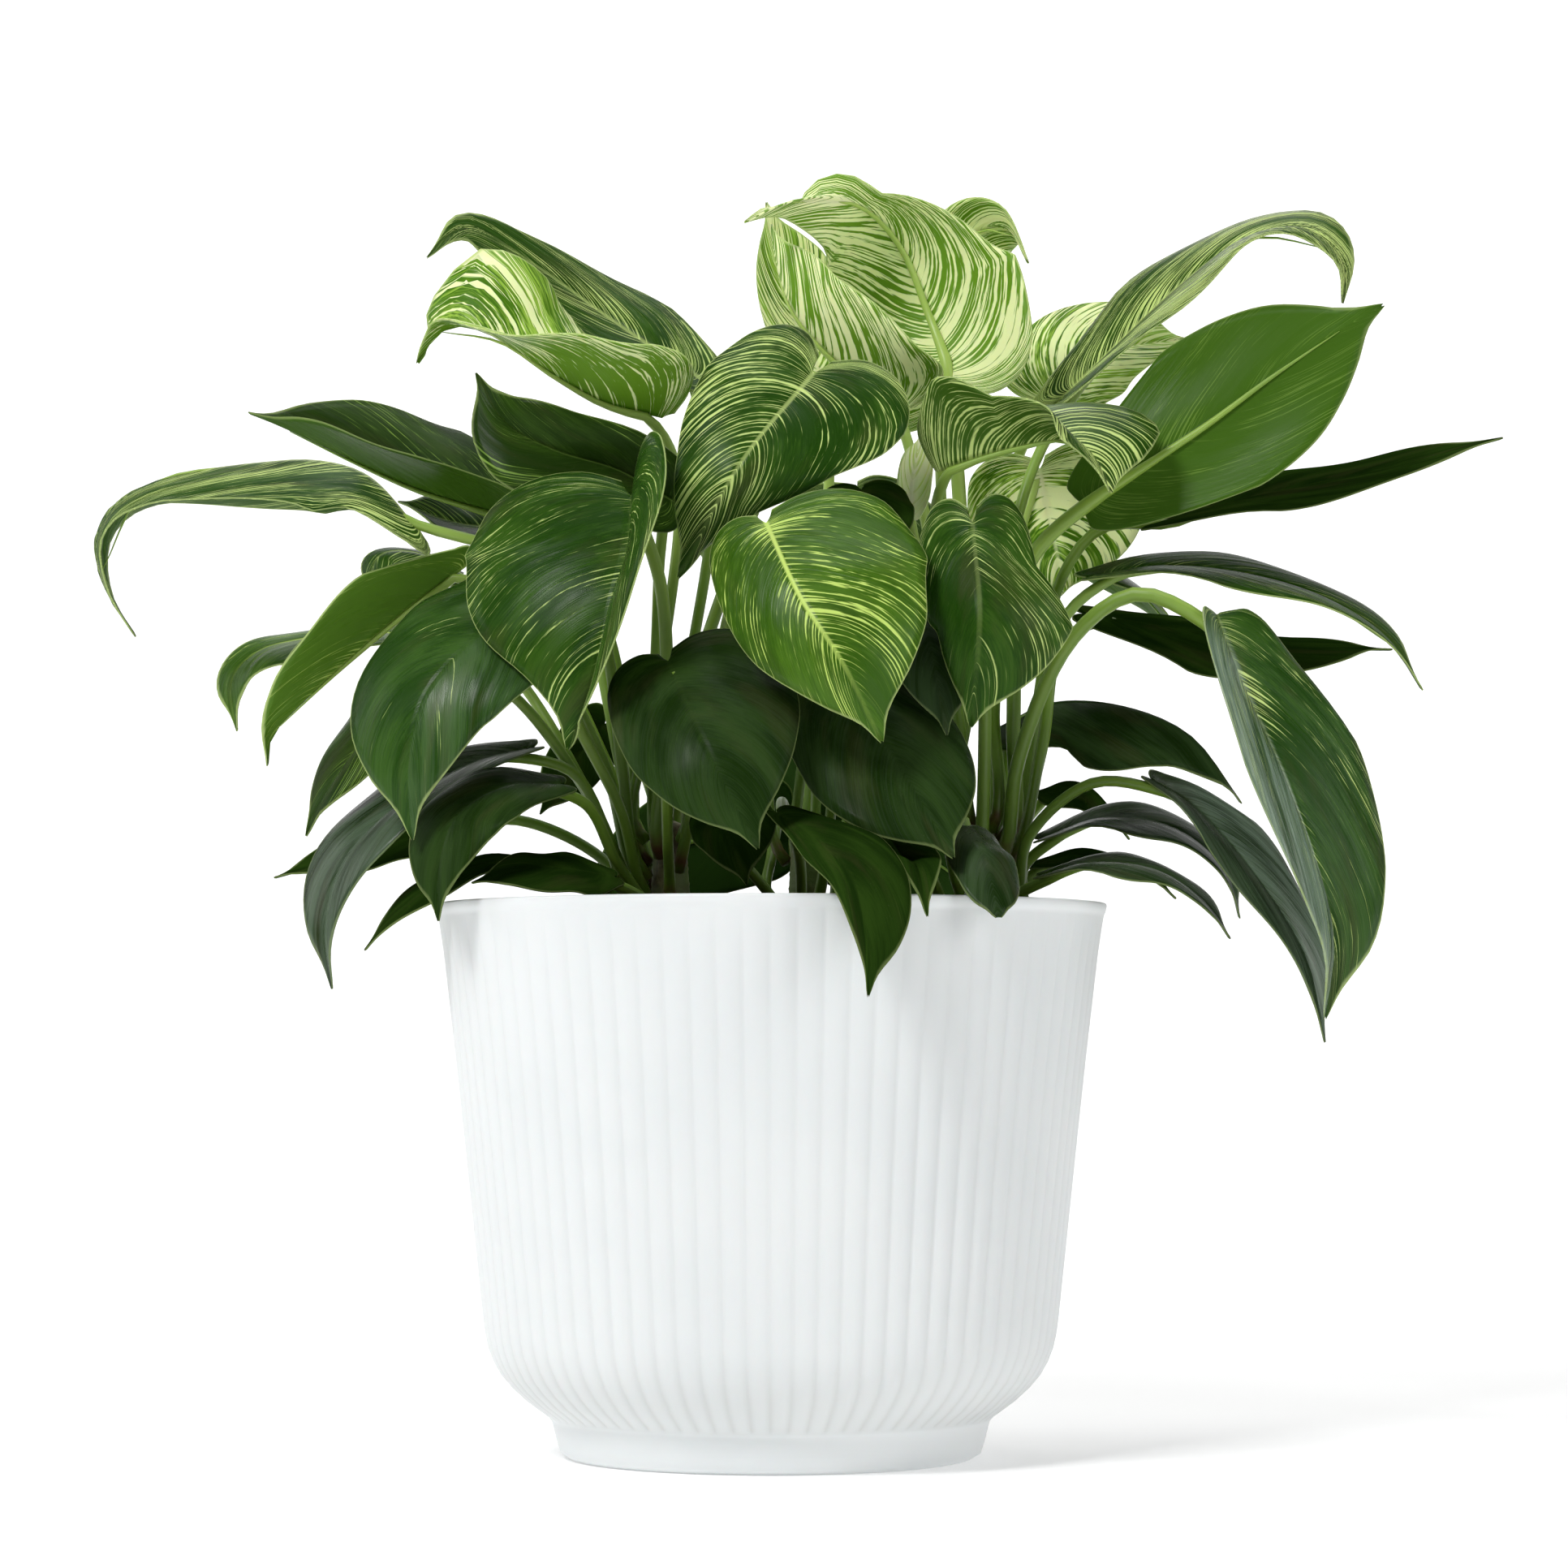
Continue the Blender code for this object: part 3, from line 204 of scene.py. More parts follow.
# How each kind of leaf is coloured. The stripes along the veins are line on deep to light
# green: fine is their half width, gain how much it differs from stripe to stripe, ragged how
# far they fray, and glow how much they gather along the rib. rib is how pale the rib is, edge
# how pale the margin, below how much of the stripes the underside shows, dust how far bronze
# patches and specks lie over the green, glowing how far light passes into the blade, relief how
# strong its puckers and fibres are, and stalk how pale its stalk is.
LEAF_LOOKS = {
    "young": dict(
        deep=(0.065, 0.180, 0.005), light=(0.350, 0.560, 0.070), line=(0.870, 0.960, 0.500),
        under=(0.145, 0.310, 0.018), fine=0.17, gain=1.6, ragged=0.9, glow=0.12, rib=0.9, edge=0.8,
        below=1.0, dust=0.0, gloss=0.12, roughness=0.38, glowing=0.3, relief=1.0, stalk=1.0),
    "cream": dict(
        deep=(0.540, 0.700, 0.160), light=(0.800, 0.870, 0.380), line=(0.880, 0.950, 0.610),
        under=(0.680, 0.780, 0.300), fine=0.3, gain=1.0, ragged=0.5, glow=0.05, rib=0.9, edge=0.6,
        below=1.0, dust=0.0, gloss=0.2, roughness=0.42, glowing=0.35, relief=0.8, stalk=1.0),
    "bright": dict(
        deep=(0.038, 0.105, 0.006), light=(0.068, 0.160, 0.011), line=(0.560, 0.740, 0.170),
        under=(0.100, 0.220, 0.020), fine=0.0, gain=0.5, ragged=0.6, glow=0.12, rib=1.0, edge=0.8,
        below=0.8, dust=0.12, gloss=0.14, roughness=0.3, glowing=0.15, relief=0.9, stalk=0.6),
    "striped": dict(
        deep=(0.015, 0.053, 0.004), light=(0.036, 0.096, 0.009), line=(0.560, 0.700, 0.230),
        under=(0.045, 0.110, 0.010), fine=0.035, gain=0.5, ragged=0.45, glow=0.06, rib=0.5,
        edge=0.65, below=0.9, dust=0.25, gloss=0.07, roughness=0.27, glowing=0.1, relief=0.7,
        stalk=0.35),
    "plain": dict(
        deep=(0.014, 0.036, 0.004), light=(0.030, 0.068, 0.008), line=(0.200, 0.330, 0.060),
        under=(0.052, 0.125, 0.011), fine=-0.015, gain=0.4, ragged=0.4, glow=0.03, rib=0.2,
        edge=0.35, below=0.5, dust=0.15, gloss=0.04, roughness=0.25, glowing=0.08, relief=0.3,
        stalk=0.2),
    "old": dict(
        deep=(0.009, 0.025, 0.003), light=(0.021, 0.050, 0.006), line=(0.060, 0.100, 0.020),
        under=(0.024, 0.060, 0.010), fine=-0.12, gain=0.3, ragged=0.2, glow=0.0, rib=0.06, edge=0.25,
        below=0.4, dust=0.18, gloss=0.0, roughness=0.27, glowing=0.03, relief=0.3, stalk=0.0),
}
# The wide and the narrow stripes: shift of the seed, spacing, share of the kind's width
STRIPE_SETS = ((0.0, 3.1, 1.0), (5.3, 1.7, 0.6))
STRIPE_EDGE = (-0.02, 0.12)
SEED_STEP = 13.7

# How fine each pattern on a leaf is, per millimetre across and along its veins
CROWDING = (0.06, 0.04)
DASHES = (1.5, 0.3)
WANDER = (0.08, 0.02)
PATCHES = (0.07, 0.05)
BRONZE_PATCHES = (0.06, 0.06)
SPECKS = (2.6, 2.6)
SPECKED_AREAS = (0.09, 0.09)
FIBRES = (1.7, 0.015)
PUCKERS = (0.16, 0.08)
GLOSS_CLOUDS = (0.2, 0.08)
STALK_STREAKS = (1.4, 0.03)
STALK_MOTTLES = (0.3, 0.1)
# Heights of the relief in metres
PUCKER_HEIGHT = 0.0012
FIBRE_HEIGHT = 0.0004
RIB_GROOVE = 0.0005
STALK_RELIEF = 0.0003
POT_GRAIN = 0.00006
SOIL_RELIEF = 0.001
BARK_RELIEF = 0.0006
SAP_DEPTH = 0.0012

# Colours
RIM_COLOUR = (0.480, 0.600, 0.220)
SPECK_COLOUR = (0.420, 0.400, 0.330)
BRONZE_COLOUR = (0.075, 0.062, 0.026)
# Painted sheen: the pale blue-grey mixed into a leaf's colour where its sheen is set
WAX_COLOUR = (0.330, 0.420, 0.360)
SAP_REACH = (0.6, 1.0, 0.2)
STALK_GREENS = ((0.150, 0.280, 0.022), (0.250, 0.400, 0.050))
STALK_LOW_GREENS = ((0.095, 0.185, 0.014), (0.165, 0.285, 0.028))
STALK_PALE = (0.400, 0.560, 0.120)
STALK_FOOT = (0.110, 0.045, 0.020)
POT_WHITES = ((0.795, 0.826, 0.832), (0.835, 0.861, 0.864))
# Painted shade on the pot, in its grooves and where its wall turns under
POT_GROOVE = (0.560, 0.570, 0.550)
SOIL_BROWNS = ((0.010, 0.007, 0.005), (0.060, 0.038, 0.024))
SOIL_DAMP = (0.030, 0.018, 0.012)
BARK_COLOURS = ((0.060, 0.040, 0.018), (0.200, 0.170, 0.080))
BARK_GREEN = (0.130, 0.190, 0.045)
BACKDROP_COLOUR = (0.9, 0.9, 0.9)
WHITE = (1.0, 1.0, 1.0)


def leaf(name, crown, root, tone, stalk, rib, one_side, other_side, face, belly=0.25, lobe=0.12,
         narrow=0.0, blunt=1.0, curl=-28.0, thick=(1.5, 1.5), stripes=0.0, sheen=(0.0, 0.0)):
    """One leaf by its own measures.

    root is the angle round the crown and the height above the soil where the stalk grows out,
    stalk the points that it passes, and rib the points of the midrib from the stalk to the tip.
    Each side lists places along the rib, as shares of its length, each with the point of the
    margin abreast of it. face is roughly where the upper side looks at the base.
    belly is where the blade is widest, lobe how far its base reaches back, narrow and blunt draw
    in the base and round off the tip, and curl is how far each half bends in degrees. thick holds
    the stalk's radii at its root and at the blade. stripes makes the stripes wider or narrower
    than the kind's, in shares of their spacing. sheen is how strong the sheen is on each of the
    two halves, both as gloss and as a painted sheen of pale streaks in the colour, or below 0 how
    much duller they are than the kind.
    """
    return SimpleNamespace(**locals())


LEAVES = (
    # The left side, from the top down
    leaf("upper_left_back", "left", (80, 30), "striped", [(-24, 15, 200), (-16, 17, 262)],
        [(-19, 8, 290), (-42.5, 22, 307.5), (-66.5, 24, 325), (-84, 18, 334), (-94, 8, 323.5)],
        [(0.25, -33, 30, 318), (0.7, -76, 26, 337.5)], [(0.4, -52, 18, 302)], (0, -0.6, 1), belly=0.35,
        lobe=0.06, narrow=0.4),
    leaf("left_bright", "left", (118, 28), "young", [(-31, 8, 200), (-25, 5, 262)],
        [(-29, -12, 277), (-45, -14, 281), (-62, -13, 291), (-77.5, -11, 300.5), (-86.5, -8, 302),
        (-92, -5, 298), (-95.5, -2, 293)],
        [(0.1, -31, -38, 294), (0.33, -50, -37, 295), (0.53, -69, -34, 296), (0.7, -82, -24, 299)],
        [(0.08, -35.5, 12, 300.5), (0.4, -50, 10, 302), (0.58, -59, 8, 310), (0.7, -72, 5, 321.5),
        (0.78, -83, 4, 323), (0.84, -91, 2, 311)], (0, 0.1, 1), lobe=0.06, stripes=-0.12),
    leaf("left_dark_upright", "left", (180, 30), "plain", [(-32, -3, 200), (-30, -9, 236)],
        [(-26, -14, 254), (-41, -18, 262), (-57.5, -20, 267), (-71, -18, 275), (-79, -12, 289)],
        [(0.3, -43, -24, 274.5), (0.65, -63.5, -22, 281)], [(0.3, -47.5, -26, 251.5),
        (0.65, -71, -24, 258), (0.85, -78, -16, 276)], (0, -1, 0.3), belly=0.35, lobe=0.05),
    leaf("left_mid_long", "left", (150, 24), "plain", [(-38, 10, 190), (-50, 16, 235)],
        [(-66, 16, 252), (-98, 17, 262), (-120, 17, 272), (-135, 16, 279), (-143, 14, 282)],
        [(0.12, -80, -2, 266), (0.35, -101, -1, 269)], [(0.35, -101, 34, 285)], (0, 0, 1), belly=0.35,
        lobe=0.06, narrow=0.5),
    leaf("left_hook", "left", (210, 20), "striped", [(-40, -6, 185), (-47, -12, 224), (-64, -18, 238)],
        [(-93, -20, 245), (-107, -20, 260), (-120, -20, 264), (-135, -20, 263.5), (-153, -20, 261),
        (-166, -20, 257.5), (-175, -19, 252), (-179.5, -18, 243), (-177, -18, 231),
        (-168.5, -18, 217.5)],
        [(0.25, -118.5, -34, 248.5), (0.6, -158.5, -28, 253.5)], [(0.25, -120, -6, 251),
        (0.6, -160, -12, 254)], (-0.4, 0, 1), lobe=0.04, narrow=0.6, stripes=0.03, sheen=(0.03, 0.12)),
    leaf("left_back_striped", "left", (125, 18), "striped", [(-40, 18, 180), (-54, 28, 235)],
        [(-68, 31, 252), (-86, 30, 253), (-103, 26, 259)],
        [(0.25, -86, 40, 263)], [(0.25, -85, 18, 246)], (0, -0.4, 1), sheen=(0.1, 0.1)),
    leaf("front_left_striped", "left", (250, 26), "striped", [(-28, -11, 190), (-29, -22, 230)],
        [(-36, -40, 252), (-37, -50, 236), (-41, -56, 221), (-46, -58, 200), (-52, -54, 185)],
        [(0.25, -80, -38, 234)], [(0.25, -28, -76, 243)], (-0.3, -1, 0.3), thick=(1.8, 1.7),
        stripes=-0.06),
    leaf("front_left_low", "left", (222, 14), "striped", [(-40, -16, 172), (-52, -25, 196),
        (-59, -29, 216)],
        [(-63, -34, 226), (-75, -44, 216), (-89, -51, 199), (-93, -53, 180), (-92, -50, 162)],
        [(0.25, -105, -32, 213)], [(0.25, -67, -54, 196)], (-0.2, -1, 0.4), stripes=-0.16,
        sheen=(0.08, 0.03)),
    leaf("left_long_narrow", "left", (172, 18), "bright", [(-45, 3, 185), (-68, -3, 225)],
        [(-82, -4, 238), (-98, -4, 226), (-113, -4, 213), (-127, -4, 200), (-134, -4, 192),
        (-135, -4, 184)],
        [(0.4, -120, -18, 223)], [(0.4, -119, 9, 228)], (-0.65, 0, 0.75), belly=0.3, lobe=0.05,
        narrow=0.6, stripes=-0.04),
    leaf("left_outer_small", "left", (160, 8), "bright", [(-50, 14, 178), (-78, 28, 218)],
        [(-93, 31, 222), (-112, 33, 223), (-130, 31, 221), (-142, 27, 217), (-148, 23, 209),
        (-146, 19, 195)],
        [(0.7, -155, 29, 211)], [(0.7, -139, 14, 209)], (0, 0, 1), belly=0.4, lobe=0.04, narrow=0.6),
    leaf("left_small_bright", "left", (105, 14), "striped", [(-42, 26, 180), (-68, 28, 228)],
        [(-86, 24, 239), (-98, 20, 244), (-107, 18, 243), (-110, 14, 232)],
        [(0.5, -104, 28, 246)], [(0.5, -102, 10, 236)], (0, 0, 1), lobe=0.05, narrow=0.4),
    leaf("low_left_glossy", "left", (202, 5), "old", [(-44, -8, 166), (-53, -10, 182)],
        [(-65, -10, 188), (-79, -14, 184), (-98, -20, 173), (-112, -24, 158), (-117, -26, 141),
        (-115, -26, 124)],
        [(0.45, -117, -10, 168)], [(0.45, -101, -36, 160)], (-0.4, -0.4, 0.8), belly=0.35, lobe=0.04,
        narrow=0.6, sheen=(0.22, 0.22)),
    leaf("low_left_back", "left", (138, 4), "old", [(-46, 20, 160), (-70, 25, 171)],
        [(-86, 27, 170), (-106, 26, 164), (-122, 24, 159), (-136, 22, 155)],
        [(0.4, -106, 38, 171)], [(0.4, -104, 14, 158)], (0, 0, 1), lobe=0.04, narrow=0.6),
    leaf("left_behind_low", "left", (192, 13), "plain", [(-50, -5, 178), (-74, -8, 206)],
        [(-90, -8, 208), (-101, -10, 200), (-112, -10, 186), (-120, -9, 174), (-124, -8, 165)],
        [(0.25, -113, 2, 200)], [(0.25, -98, -22, 190)], (-0.4, -0.8, 0.4), lobe=0.06, narrow=0.4),
    leaf("low_left_dark", "left", (236, 7), "old", [(-41, -19, 158), (-48, -29, 172)],
        [(-55, -36, 177), (-69, -43, 176), (-81, -48, 168), (-85, -51, 155), (-85, -54, 141)],
        [(0.4, -89, -36, 174)], [(0.4, -71, -58, 163)], (-0.3, -0.5, 0.8), belly=0.35, lobe=0.05,
        narrow=0.5, sheen=(0.02, 0.02)),
    leaf("low_left_over_rim", "left", (182, 2), "old", [(-47, -4, 153.5)],
        [(-60, -18, 157), (-74, -22, 157), (-88, -27, 151), (-99, -30, 142), (-106, -32, 134)],
        [(0.4, -84, -18, 157)], [(0.4, -80, -34, 151)], (-0.2, -0.2, 1), belly=0.35, lobe=0.04,
        narrow=0.6),
    leaf("low_left_shaded", "left", (262, 3), "old", [(-34, -22, 148)],
        [(-41, -34, 153), (-59, -43, 155), (-77, -48, 151)],
        [(0.35, -52, -28, 159)], [(0.35, -56, -52, 148.5)], (0, -0.3, 1), lobe=0.05, narrow=0.5),
    leaf("left_pale_back", "left", (85, 6), "old", [(-30, 26, 168), (-39, 34, 192)],
        [(-46, 32, 198), (-55, 34, 187), (-64, 34, 173)],
        [(0.25, -44, 34, 186)], [(0.25, -62, 33, 192)], (-0.2, -1, 0.3)),
    # The middle, in front
    leaf("center_striped", "left", (300, 30), "striped", [(-22, 0, 200), (-6, 0, 250)],
        [(11, -35, 285), (-8, -50, 259), (-24, -46, 230)],
        [(0.2, -15, -33, 289), (0.6, -28, -42, 254)], [(0.05, 47, -36, 281), (0.35, 17.5, -47, 258),
        (0.65, -4, -46, 248), (0.85, -15, -44, 243)], (0.2, -0.8, 0.5), belly=0.2, lobe=0.15,
        thick=(1.8, 1.7), stripes=0.03),
    leaf("front_bright", "left", (290, 22), "bright", [(-18, -18, 185), (-9, -42, 228)],
        [(-1, -66, 242), (8, -80, 221), (18, -84, 205), (28, -80, 185)],
        [(0.25, -13, -68, 221)], [(0.25, 38, -62, 238)], (0, -1, 0.35), lobe=0.09),
    leaf("center_dark", "left", (270, 14), "old", [(-27, -30, 165), (-27, -50, 200)],
        [(-26, -62, 207), (-16, -80, 184), (-3, -86, 158)],
        [(0.25, -40, -66, 189)], [(0.25, 6, -66, 201)], (0, -1, 0.25), lobe=0.1, sheen=(0.03, 0.03)),
    leaf("center_right_dark", "right", (235, 14), "old", [(46, -16, 165), (26, -36, 200)],
        [(18, -50, 204), (31, -66, 183), (46, -80, 156)],
        [(0.4, 9, -66, 176)], [(0.4, 49, -56, 189)], (0, -1, 0.25), belly=0.4, lobe=0.08, stripes=-0.08,
        sheen=(0.03, 0.03)),
    leaf("right_front_dark", "right", (272, 24), "striped", [(57, -9, 185), (56, -30, 230)],
        [(52, -58, 243), (53, -72, 217), (51, -64, 190)],
        [(0.15, 37, -50, 240), (0.6, 43, -60, 209)], [(0.2, 68, -56, 238), (0.5, 77, -62, 214)],
        (-0.1, -1, 0.2), belly=0.35, lobe=0.16, thick=(1.8, 1.7), stripes=-0.05),
    leaf("over_rim_front", "back", (262, 4), "old", [(8, 10, 158), (3, -44, 172)],
        [(2, -66, 168), (11, -85, 161), (20, -97, 151), (24, -103, 136), (24, -105, 121)],
        [(0.4, 11.5, -94, 153)], [(0.4, 36, -90, 153)], (-0.1, -0.7, 0.7), belly=0.38, lobe=0.06,
        narrow=0.55),
    leaf("over_rim_small", "right", (225, 4), "old", [(42, -16, 155), (35, -36, 166)],
        [(30, -50, 163), (34, -66, 156), (37, -82, 153), (39, -93, 141)],
        [(0.4, 26, -68, 159)], [(0.4, 42, -65, 158)], (0, -0.6, 0.8), lobe=0.05, narrow=0.6),
    leaf("center_behind", "right", (235, 20), "old", [(46, -8, 185), (40, -24, 222)],
        [(38, -42, 228), (42, -57, 207), (45, -63, 188)],
        [(0.25, 29, -50, 212)], [(0.25, 55, -48, 213)], (0, -1, 0.2), sheen=(0.08, 0.08)),
    leaf("center_small_dark", "back", (290, 14), "old", [(18, 10, 190), (22, -6, 245)],
        [(24, -22, 256), (26, -38, 244), (28, -44, 232)],
        [(0.25, 12, -30, 247)], [(0.25, 38, -30, 249)], (0, -1, 0.4), lobe=0.14),
    leaf("round_over_rim", "right", (255, 4), "old", [(53, -22, 155), (50, -44, 167)],
        [(50, -58, 165), (54, -72, 157), (57, -84, 141)],
        [(0.4, 45, -71, 156)], [(0.4, 62, -66, 155)], (0.1, -0.8, 0.5), belly=0.4, lobe=0.08, blunt=0.6,
        sheen=(0.07, 0.07)),
    leaf("center_shaded_low", "back", (225, 8), "old", [(-10, 10, 162), (-17, -10, 174)],
        [(-14, -22, 173), (-12, -42, 166), (-6, -60, 150)],
        [(0.25, -20, -46, 161)], [(0.25, 2, -38, 168)], (0, -0.8, 0.6)),
    # The top
    leaf("top_big", "right", (140, 33), "young", [(53, 13, 200), (51, 11, 262)],
        [(49, 4, 290), (45, 10, 303), (40, 12, 316), (35, 8, 327), (28, 0, 334), (16, -14, 336),
        (4, -22, 333), (-7, -26, 327)],
        [(0.25, 74, -2, 303), (0.6, 42, 10, 335), (0.8, 20, -4, 336)], [(0.25, 12, 16, 305),
        (0.5, 8, 5, 317), (0.7, 6.5, -20, 322)], (0, 1, 0.3), lobe=0.1, thick=(2.0, 1.9)),
    leaf("top_front_fold", "right", (180, 32), "young", [(47, 7, 200), (42, 3, 250)],
        [(36, -8, 280), (25, -12, 286), (8, -14, 302), (2.5, -12, 315), (0, -6, 330)],
        [(0.35, 30, -28, 301.5), (0.7, 14, -22, 316)], [(0.35, 20, 2, 304)], (0, 0, 1), belly=0.3,
        lobe=0.05),
    leaf("top_pale_behind", "back", (110, 24), "young", [(10, 44, 200), (16, 36, 265)],
        [(16, 26, 290), (8, 28, 306), (2, 24, 324), (-1.5, 18, 341)],
        [(0.3, 0, 30, 303)], [(0.3, 22, 32, 308), (0.7, 12, 27, 333)], (0, -1, 0.2)),
    leaf("top_right_behind", "right", (105, 32), "young", [(51, 28, 200), (47, 37, 270)],
        [(47, 40, 298), (51, 42, 320), (57, 38, 336), (65, 31, 337), (71, 24, 325)],
        [(0.4, 40, 38, 325)], [(0.4, 65, 46, 321)], (0, 1, 0.3), belly=0.4, lobe=0.06),
    leaf("top_folded_front", "right", (252, 33), "striped", [(50, -5, 200), (43, -16, 243)],
        [(44, -30, 260), (61, -36, 265), (78, -40, 267), (84, -44, 262), (88, -48, 252)],
        [(0.15, 44, -44, 287), (0.35, 62, -46, 279), (0.75, 75, -54, 263)], [(0.3, 60, -16, 275),
        (0.75, 104, -28, 265)], (0, 0, 1), lobe=0.03, narrow=0.35, stripes=0.1),
    leaf("top_bright_behind", "right", (70, 26), "young", [(61, 24, 200), (67, 33, 268)],
        [(76, 36, 289), (94, 38, 302), (116, 38, 306)],
        [(0.2, 79, 50, 316)], [(0.25, 96, 30, 289)], (-0.2, -0.6, 0.8)),
    leaf("top_right_arch", "right", (300, 33), "striped", [(60, -1, 200), (64, -3, 240), (72, 4, 268)],
        [(80, 13, 286), (94, 16, 300), (112, 16, 317), (131, 12, 330), (146, 6, 331), (155, 1, 321),
        (154.5, -1, 309.5)],
        [(0.3, 91, 30, 313), (0.7, 147, 18, 338)], [(0.3, 107, -3, 304), (0.7, 133, -5, 326)],
        (-0.7, 0, 0.7), belly=0.35, lobe=0.06, narrow=0.4, stripes=0.1),
    leaf("new_leaf", "right", (212, 34), "cream", [(46, -3, 200), (40, -9, 235)],
        [(37, -11, 250), (38, -12, 261), (40, -13, 272)],
        [(0.35, 34, -15, 262)], [(0.35, 43, -15, 262)], (0, -1, 0), belly=0.35, lobe=0.02, curl=110.0,
        narrow=0.5),
    leaf("right_bright_behind", "right", (48, 33), "young", [(61, 17, 200), (67, 21, 245)],
        [(74, 25, 268), (77, 24, 252), (79, 21, 240), (79, 18, 232)],
        [(0.25, 53, 27, 262)], [(0.25, 104, 30, 258)], (0, -1, 0.3), lobe=0.15),
    # The right side, from the top down
    leaf("right_big", "right", (335, 30), "plain", [(65, -4, 195), (69, -10, 238)],
        [(84, -12, 254), (97, -14, 262), (124, -16, 280), (141, -16, 293), (164, -14, 307)],
        [(0.42, 107, -6, 297)], [(0.42, 127, -24, 255)], (-0.3, 1, 0.2), belly=0.42, lobe=0.02,
        narrow=0.5, thick=(1.9, 2.0), stripes=0.02),
    leaf("right_long_dark", "right", (10, 28), "old", [(72, 9, 200), (79, 12, 236), (90, 13, 250)],
        [(104, 12, 251), (132, 16, 259), (166, 16, 266), (200, 14, 275)],
        [(0.4, 144, 32, 268)], [(0.4, 142, 6, 255)], (0, -0.3, 1), belly=0.35, lobe=0.04, narrow=0.6),
    leaf("right_arch", "right", (355, 22), "striped", [(73, 3, 190), (79, 3, 224)],
        [(88, 5, 236), (105, 8, 239), (129, 9, 237), (151, 8, 230), (167, 6, 219), (176, 4, 205)],
        [(0.4, 122, 23, 244)], [(0.4, 124, -7, 232)], (0, 0, 1), belly=0.35, lobe=0.05, narrow=0.6,
        stripes=-0.07, sheen=(-0.05, -0.05)),
    leaf("right_mid_back", "right", (30, 20), "old", [(74, 17, 190), (80, 25, 220)],
        [(88, 30, 228), (112, 32, 224), (141, 30, 219), (171, 26, 218)],
        [(0.4, 122, 46, 227)], [(0.4, 122, 16, 210)], (0, 0, 1), belly=0.35, lobe=0.06, narrow=0.5),
    leaf("right_front_droop", "right", (312, 24), "striped", [(66, -10, 185), (80, -20, 217),
        (97, -27, 228)],
        [(117, -30, 222), (122, -40, 205), (133, -48, 177), (142, -50, 150), (145, -48, 136),
        (143, -44, 116)],
        [(0.3, 119.5, -55, 187)], [(0.3, 151, -32, 193)], (0.2, -1, 0.3), belly=0.4, lobe=0.01,
        narrow=0.42, thick=(1.9, 2.0), stripes=-0.05, sheen=(0.05, 0.65)),
    leaf("right_low_back", "right", (65, 14), "old", [(64, 27, 178)],
        [(63, 34, 197), (78, 37, 204), (98, 38, 203), (116, 37, 195), (130, 34, 176)],
        [(0.4, 95, 54, 197)], [(0.4, 93, 25, 185)], (0, 0, 1), belly=0.3, lobe=0.06, narrow=0.5,
        sheen=(0.04, 0.04)),
    leaf("right_low_long", "right", (330, 9), "old", [(69, -6, 165), (86, -13, 179)],
        [(102, -16, 179), (111, -20, 173), (127, -26, 154), (140, -28, 132), (145, -28, 110)],
        [(0.35, 128, -16, 168)], [(0.35, 115, -31, 160)], (0.3, -0.4, 0.8), belly=0.3, lobe=0.04,
        narrow=0.6, sheen=(0.45, 0.2)),
    leaf("right_low_pale", "right", (58, 7), "old", [(67, 27, 166)],
        [(74, 32, 178), (87, 34, 180), (99, 34, 166)],
        [(0.25, 86, 48, 183)], [(0.25, 84, 18, 172)], (0, 0, 1), lobe=0.04, narrow=0.4),
    leaf("right_low_arch", "right", (358, 5), "old", [(68, 3, 157)],
        [(74, 0, 165), (89, -3, 170), (108, -5, 167), (121, -7, 156), (125, -8, 143)],
        [(0.4, 100, 8, 174)], [(0.4, 98, -18, 165)], (0, 0, 1), belly=0.35, lobe=0.05, narrow=0.6,
        sheen=(0.15, 0.15)),
    leaf("right_low_inner", "right", (30, 3), "old", [(67, 13, 151)],
        [(71, 14, 158), (87, 16, 161), (101, 16, 157), (110, 14, 149)],
        [(0.4, 91, 26, 162)], [(0.4, 90, 8, 157)], (0, 0, 1), lobe=0.04, narrow=0.6),
    leaf("right_low_front", "right", (310, 2), "old", [(64, -14, 148)],
        [(72, -22, 154), (84, -26, 157), (101, -28, 155), (113, -30, 147), (120, -32, 137)],
        [(0.4, 96, -18, 159)], [(0.4, 92, -38, 153)], (0, 0, 1), belly=0.35, lobe=0.04, narrow=0.6,
        sheen=(0.07, 0.07)),
    # The back, which the photograph hides
    leaf("back_left_high", "back", (150, 26), "plain", [(-4, 50, 210), (-20, 56, 250)],
        [(-30, 60, 262), (-52, 70, 262), (-74, 78, 250), (-88, 82, 232)],
        [(0.25, -48, 84, 262)], [(0.25, -60, 50, 254)], (0, 0, 1)),
    leaf("back_middle_high", "back", (80, 26), "striped", [(14, 56, 210), (20, 66, 256)],
        [(24, 74, 268), (28, 92, 262), (30, 108, 244), (30, 116, 222)],
        [(0.25, 5, 88, 256)], [(0.25, 50, 88, 258)], (0, 0.3, 1), lobe=0.15),
    leaf("back_right_high", "back", (30, 26), "plain", [(30, 48, 205), (52, 58, 240)],
        [(64, 64, 250), (86, 72, 250), (108, 78, 238), (122, 82, 220)],
        [(0.25, 80, 86, 248)], [(0.25, 92, 54, 242)], (0, 0, 1)),
    leaf("back_left_low", "back", (170, 12), "old", [(0, 50, 162), (1, 60, 172)],
        [(0, 67, 172), (-18, 74, 169), (-38, 80, 161), (-56, 84, 149)],
        [(0.25, -13, 68, 187)], [(0.25, -15, 72, 152)], (0, 1, 0.3)),
    leaf("back_middle_low", "back", (100, 10), "old", [(9, 58, 168), (9, 74, 192)],
        [(-8, 88, 196), (-14, 106, 188), (-18, 118, 170), (-18, 122, 150)],
        [(0.25, -34, 100, 186)], [(0.25, 10, 106, 184)], (0, 0.3, 1)),
    leaf("back_right_low", "back", (50, 10), "old", [(18, 52, 160), (17, 62, 170)],
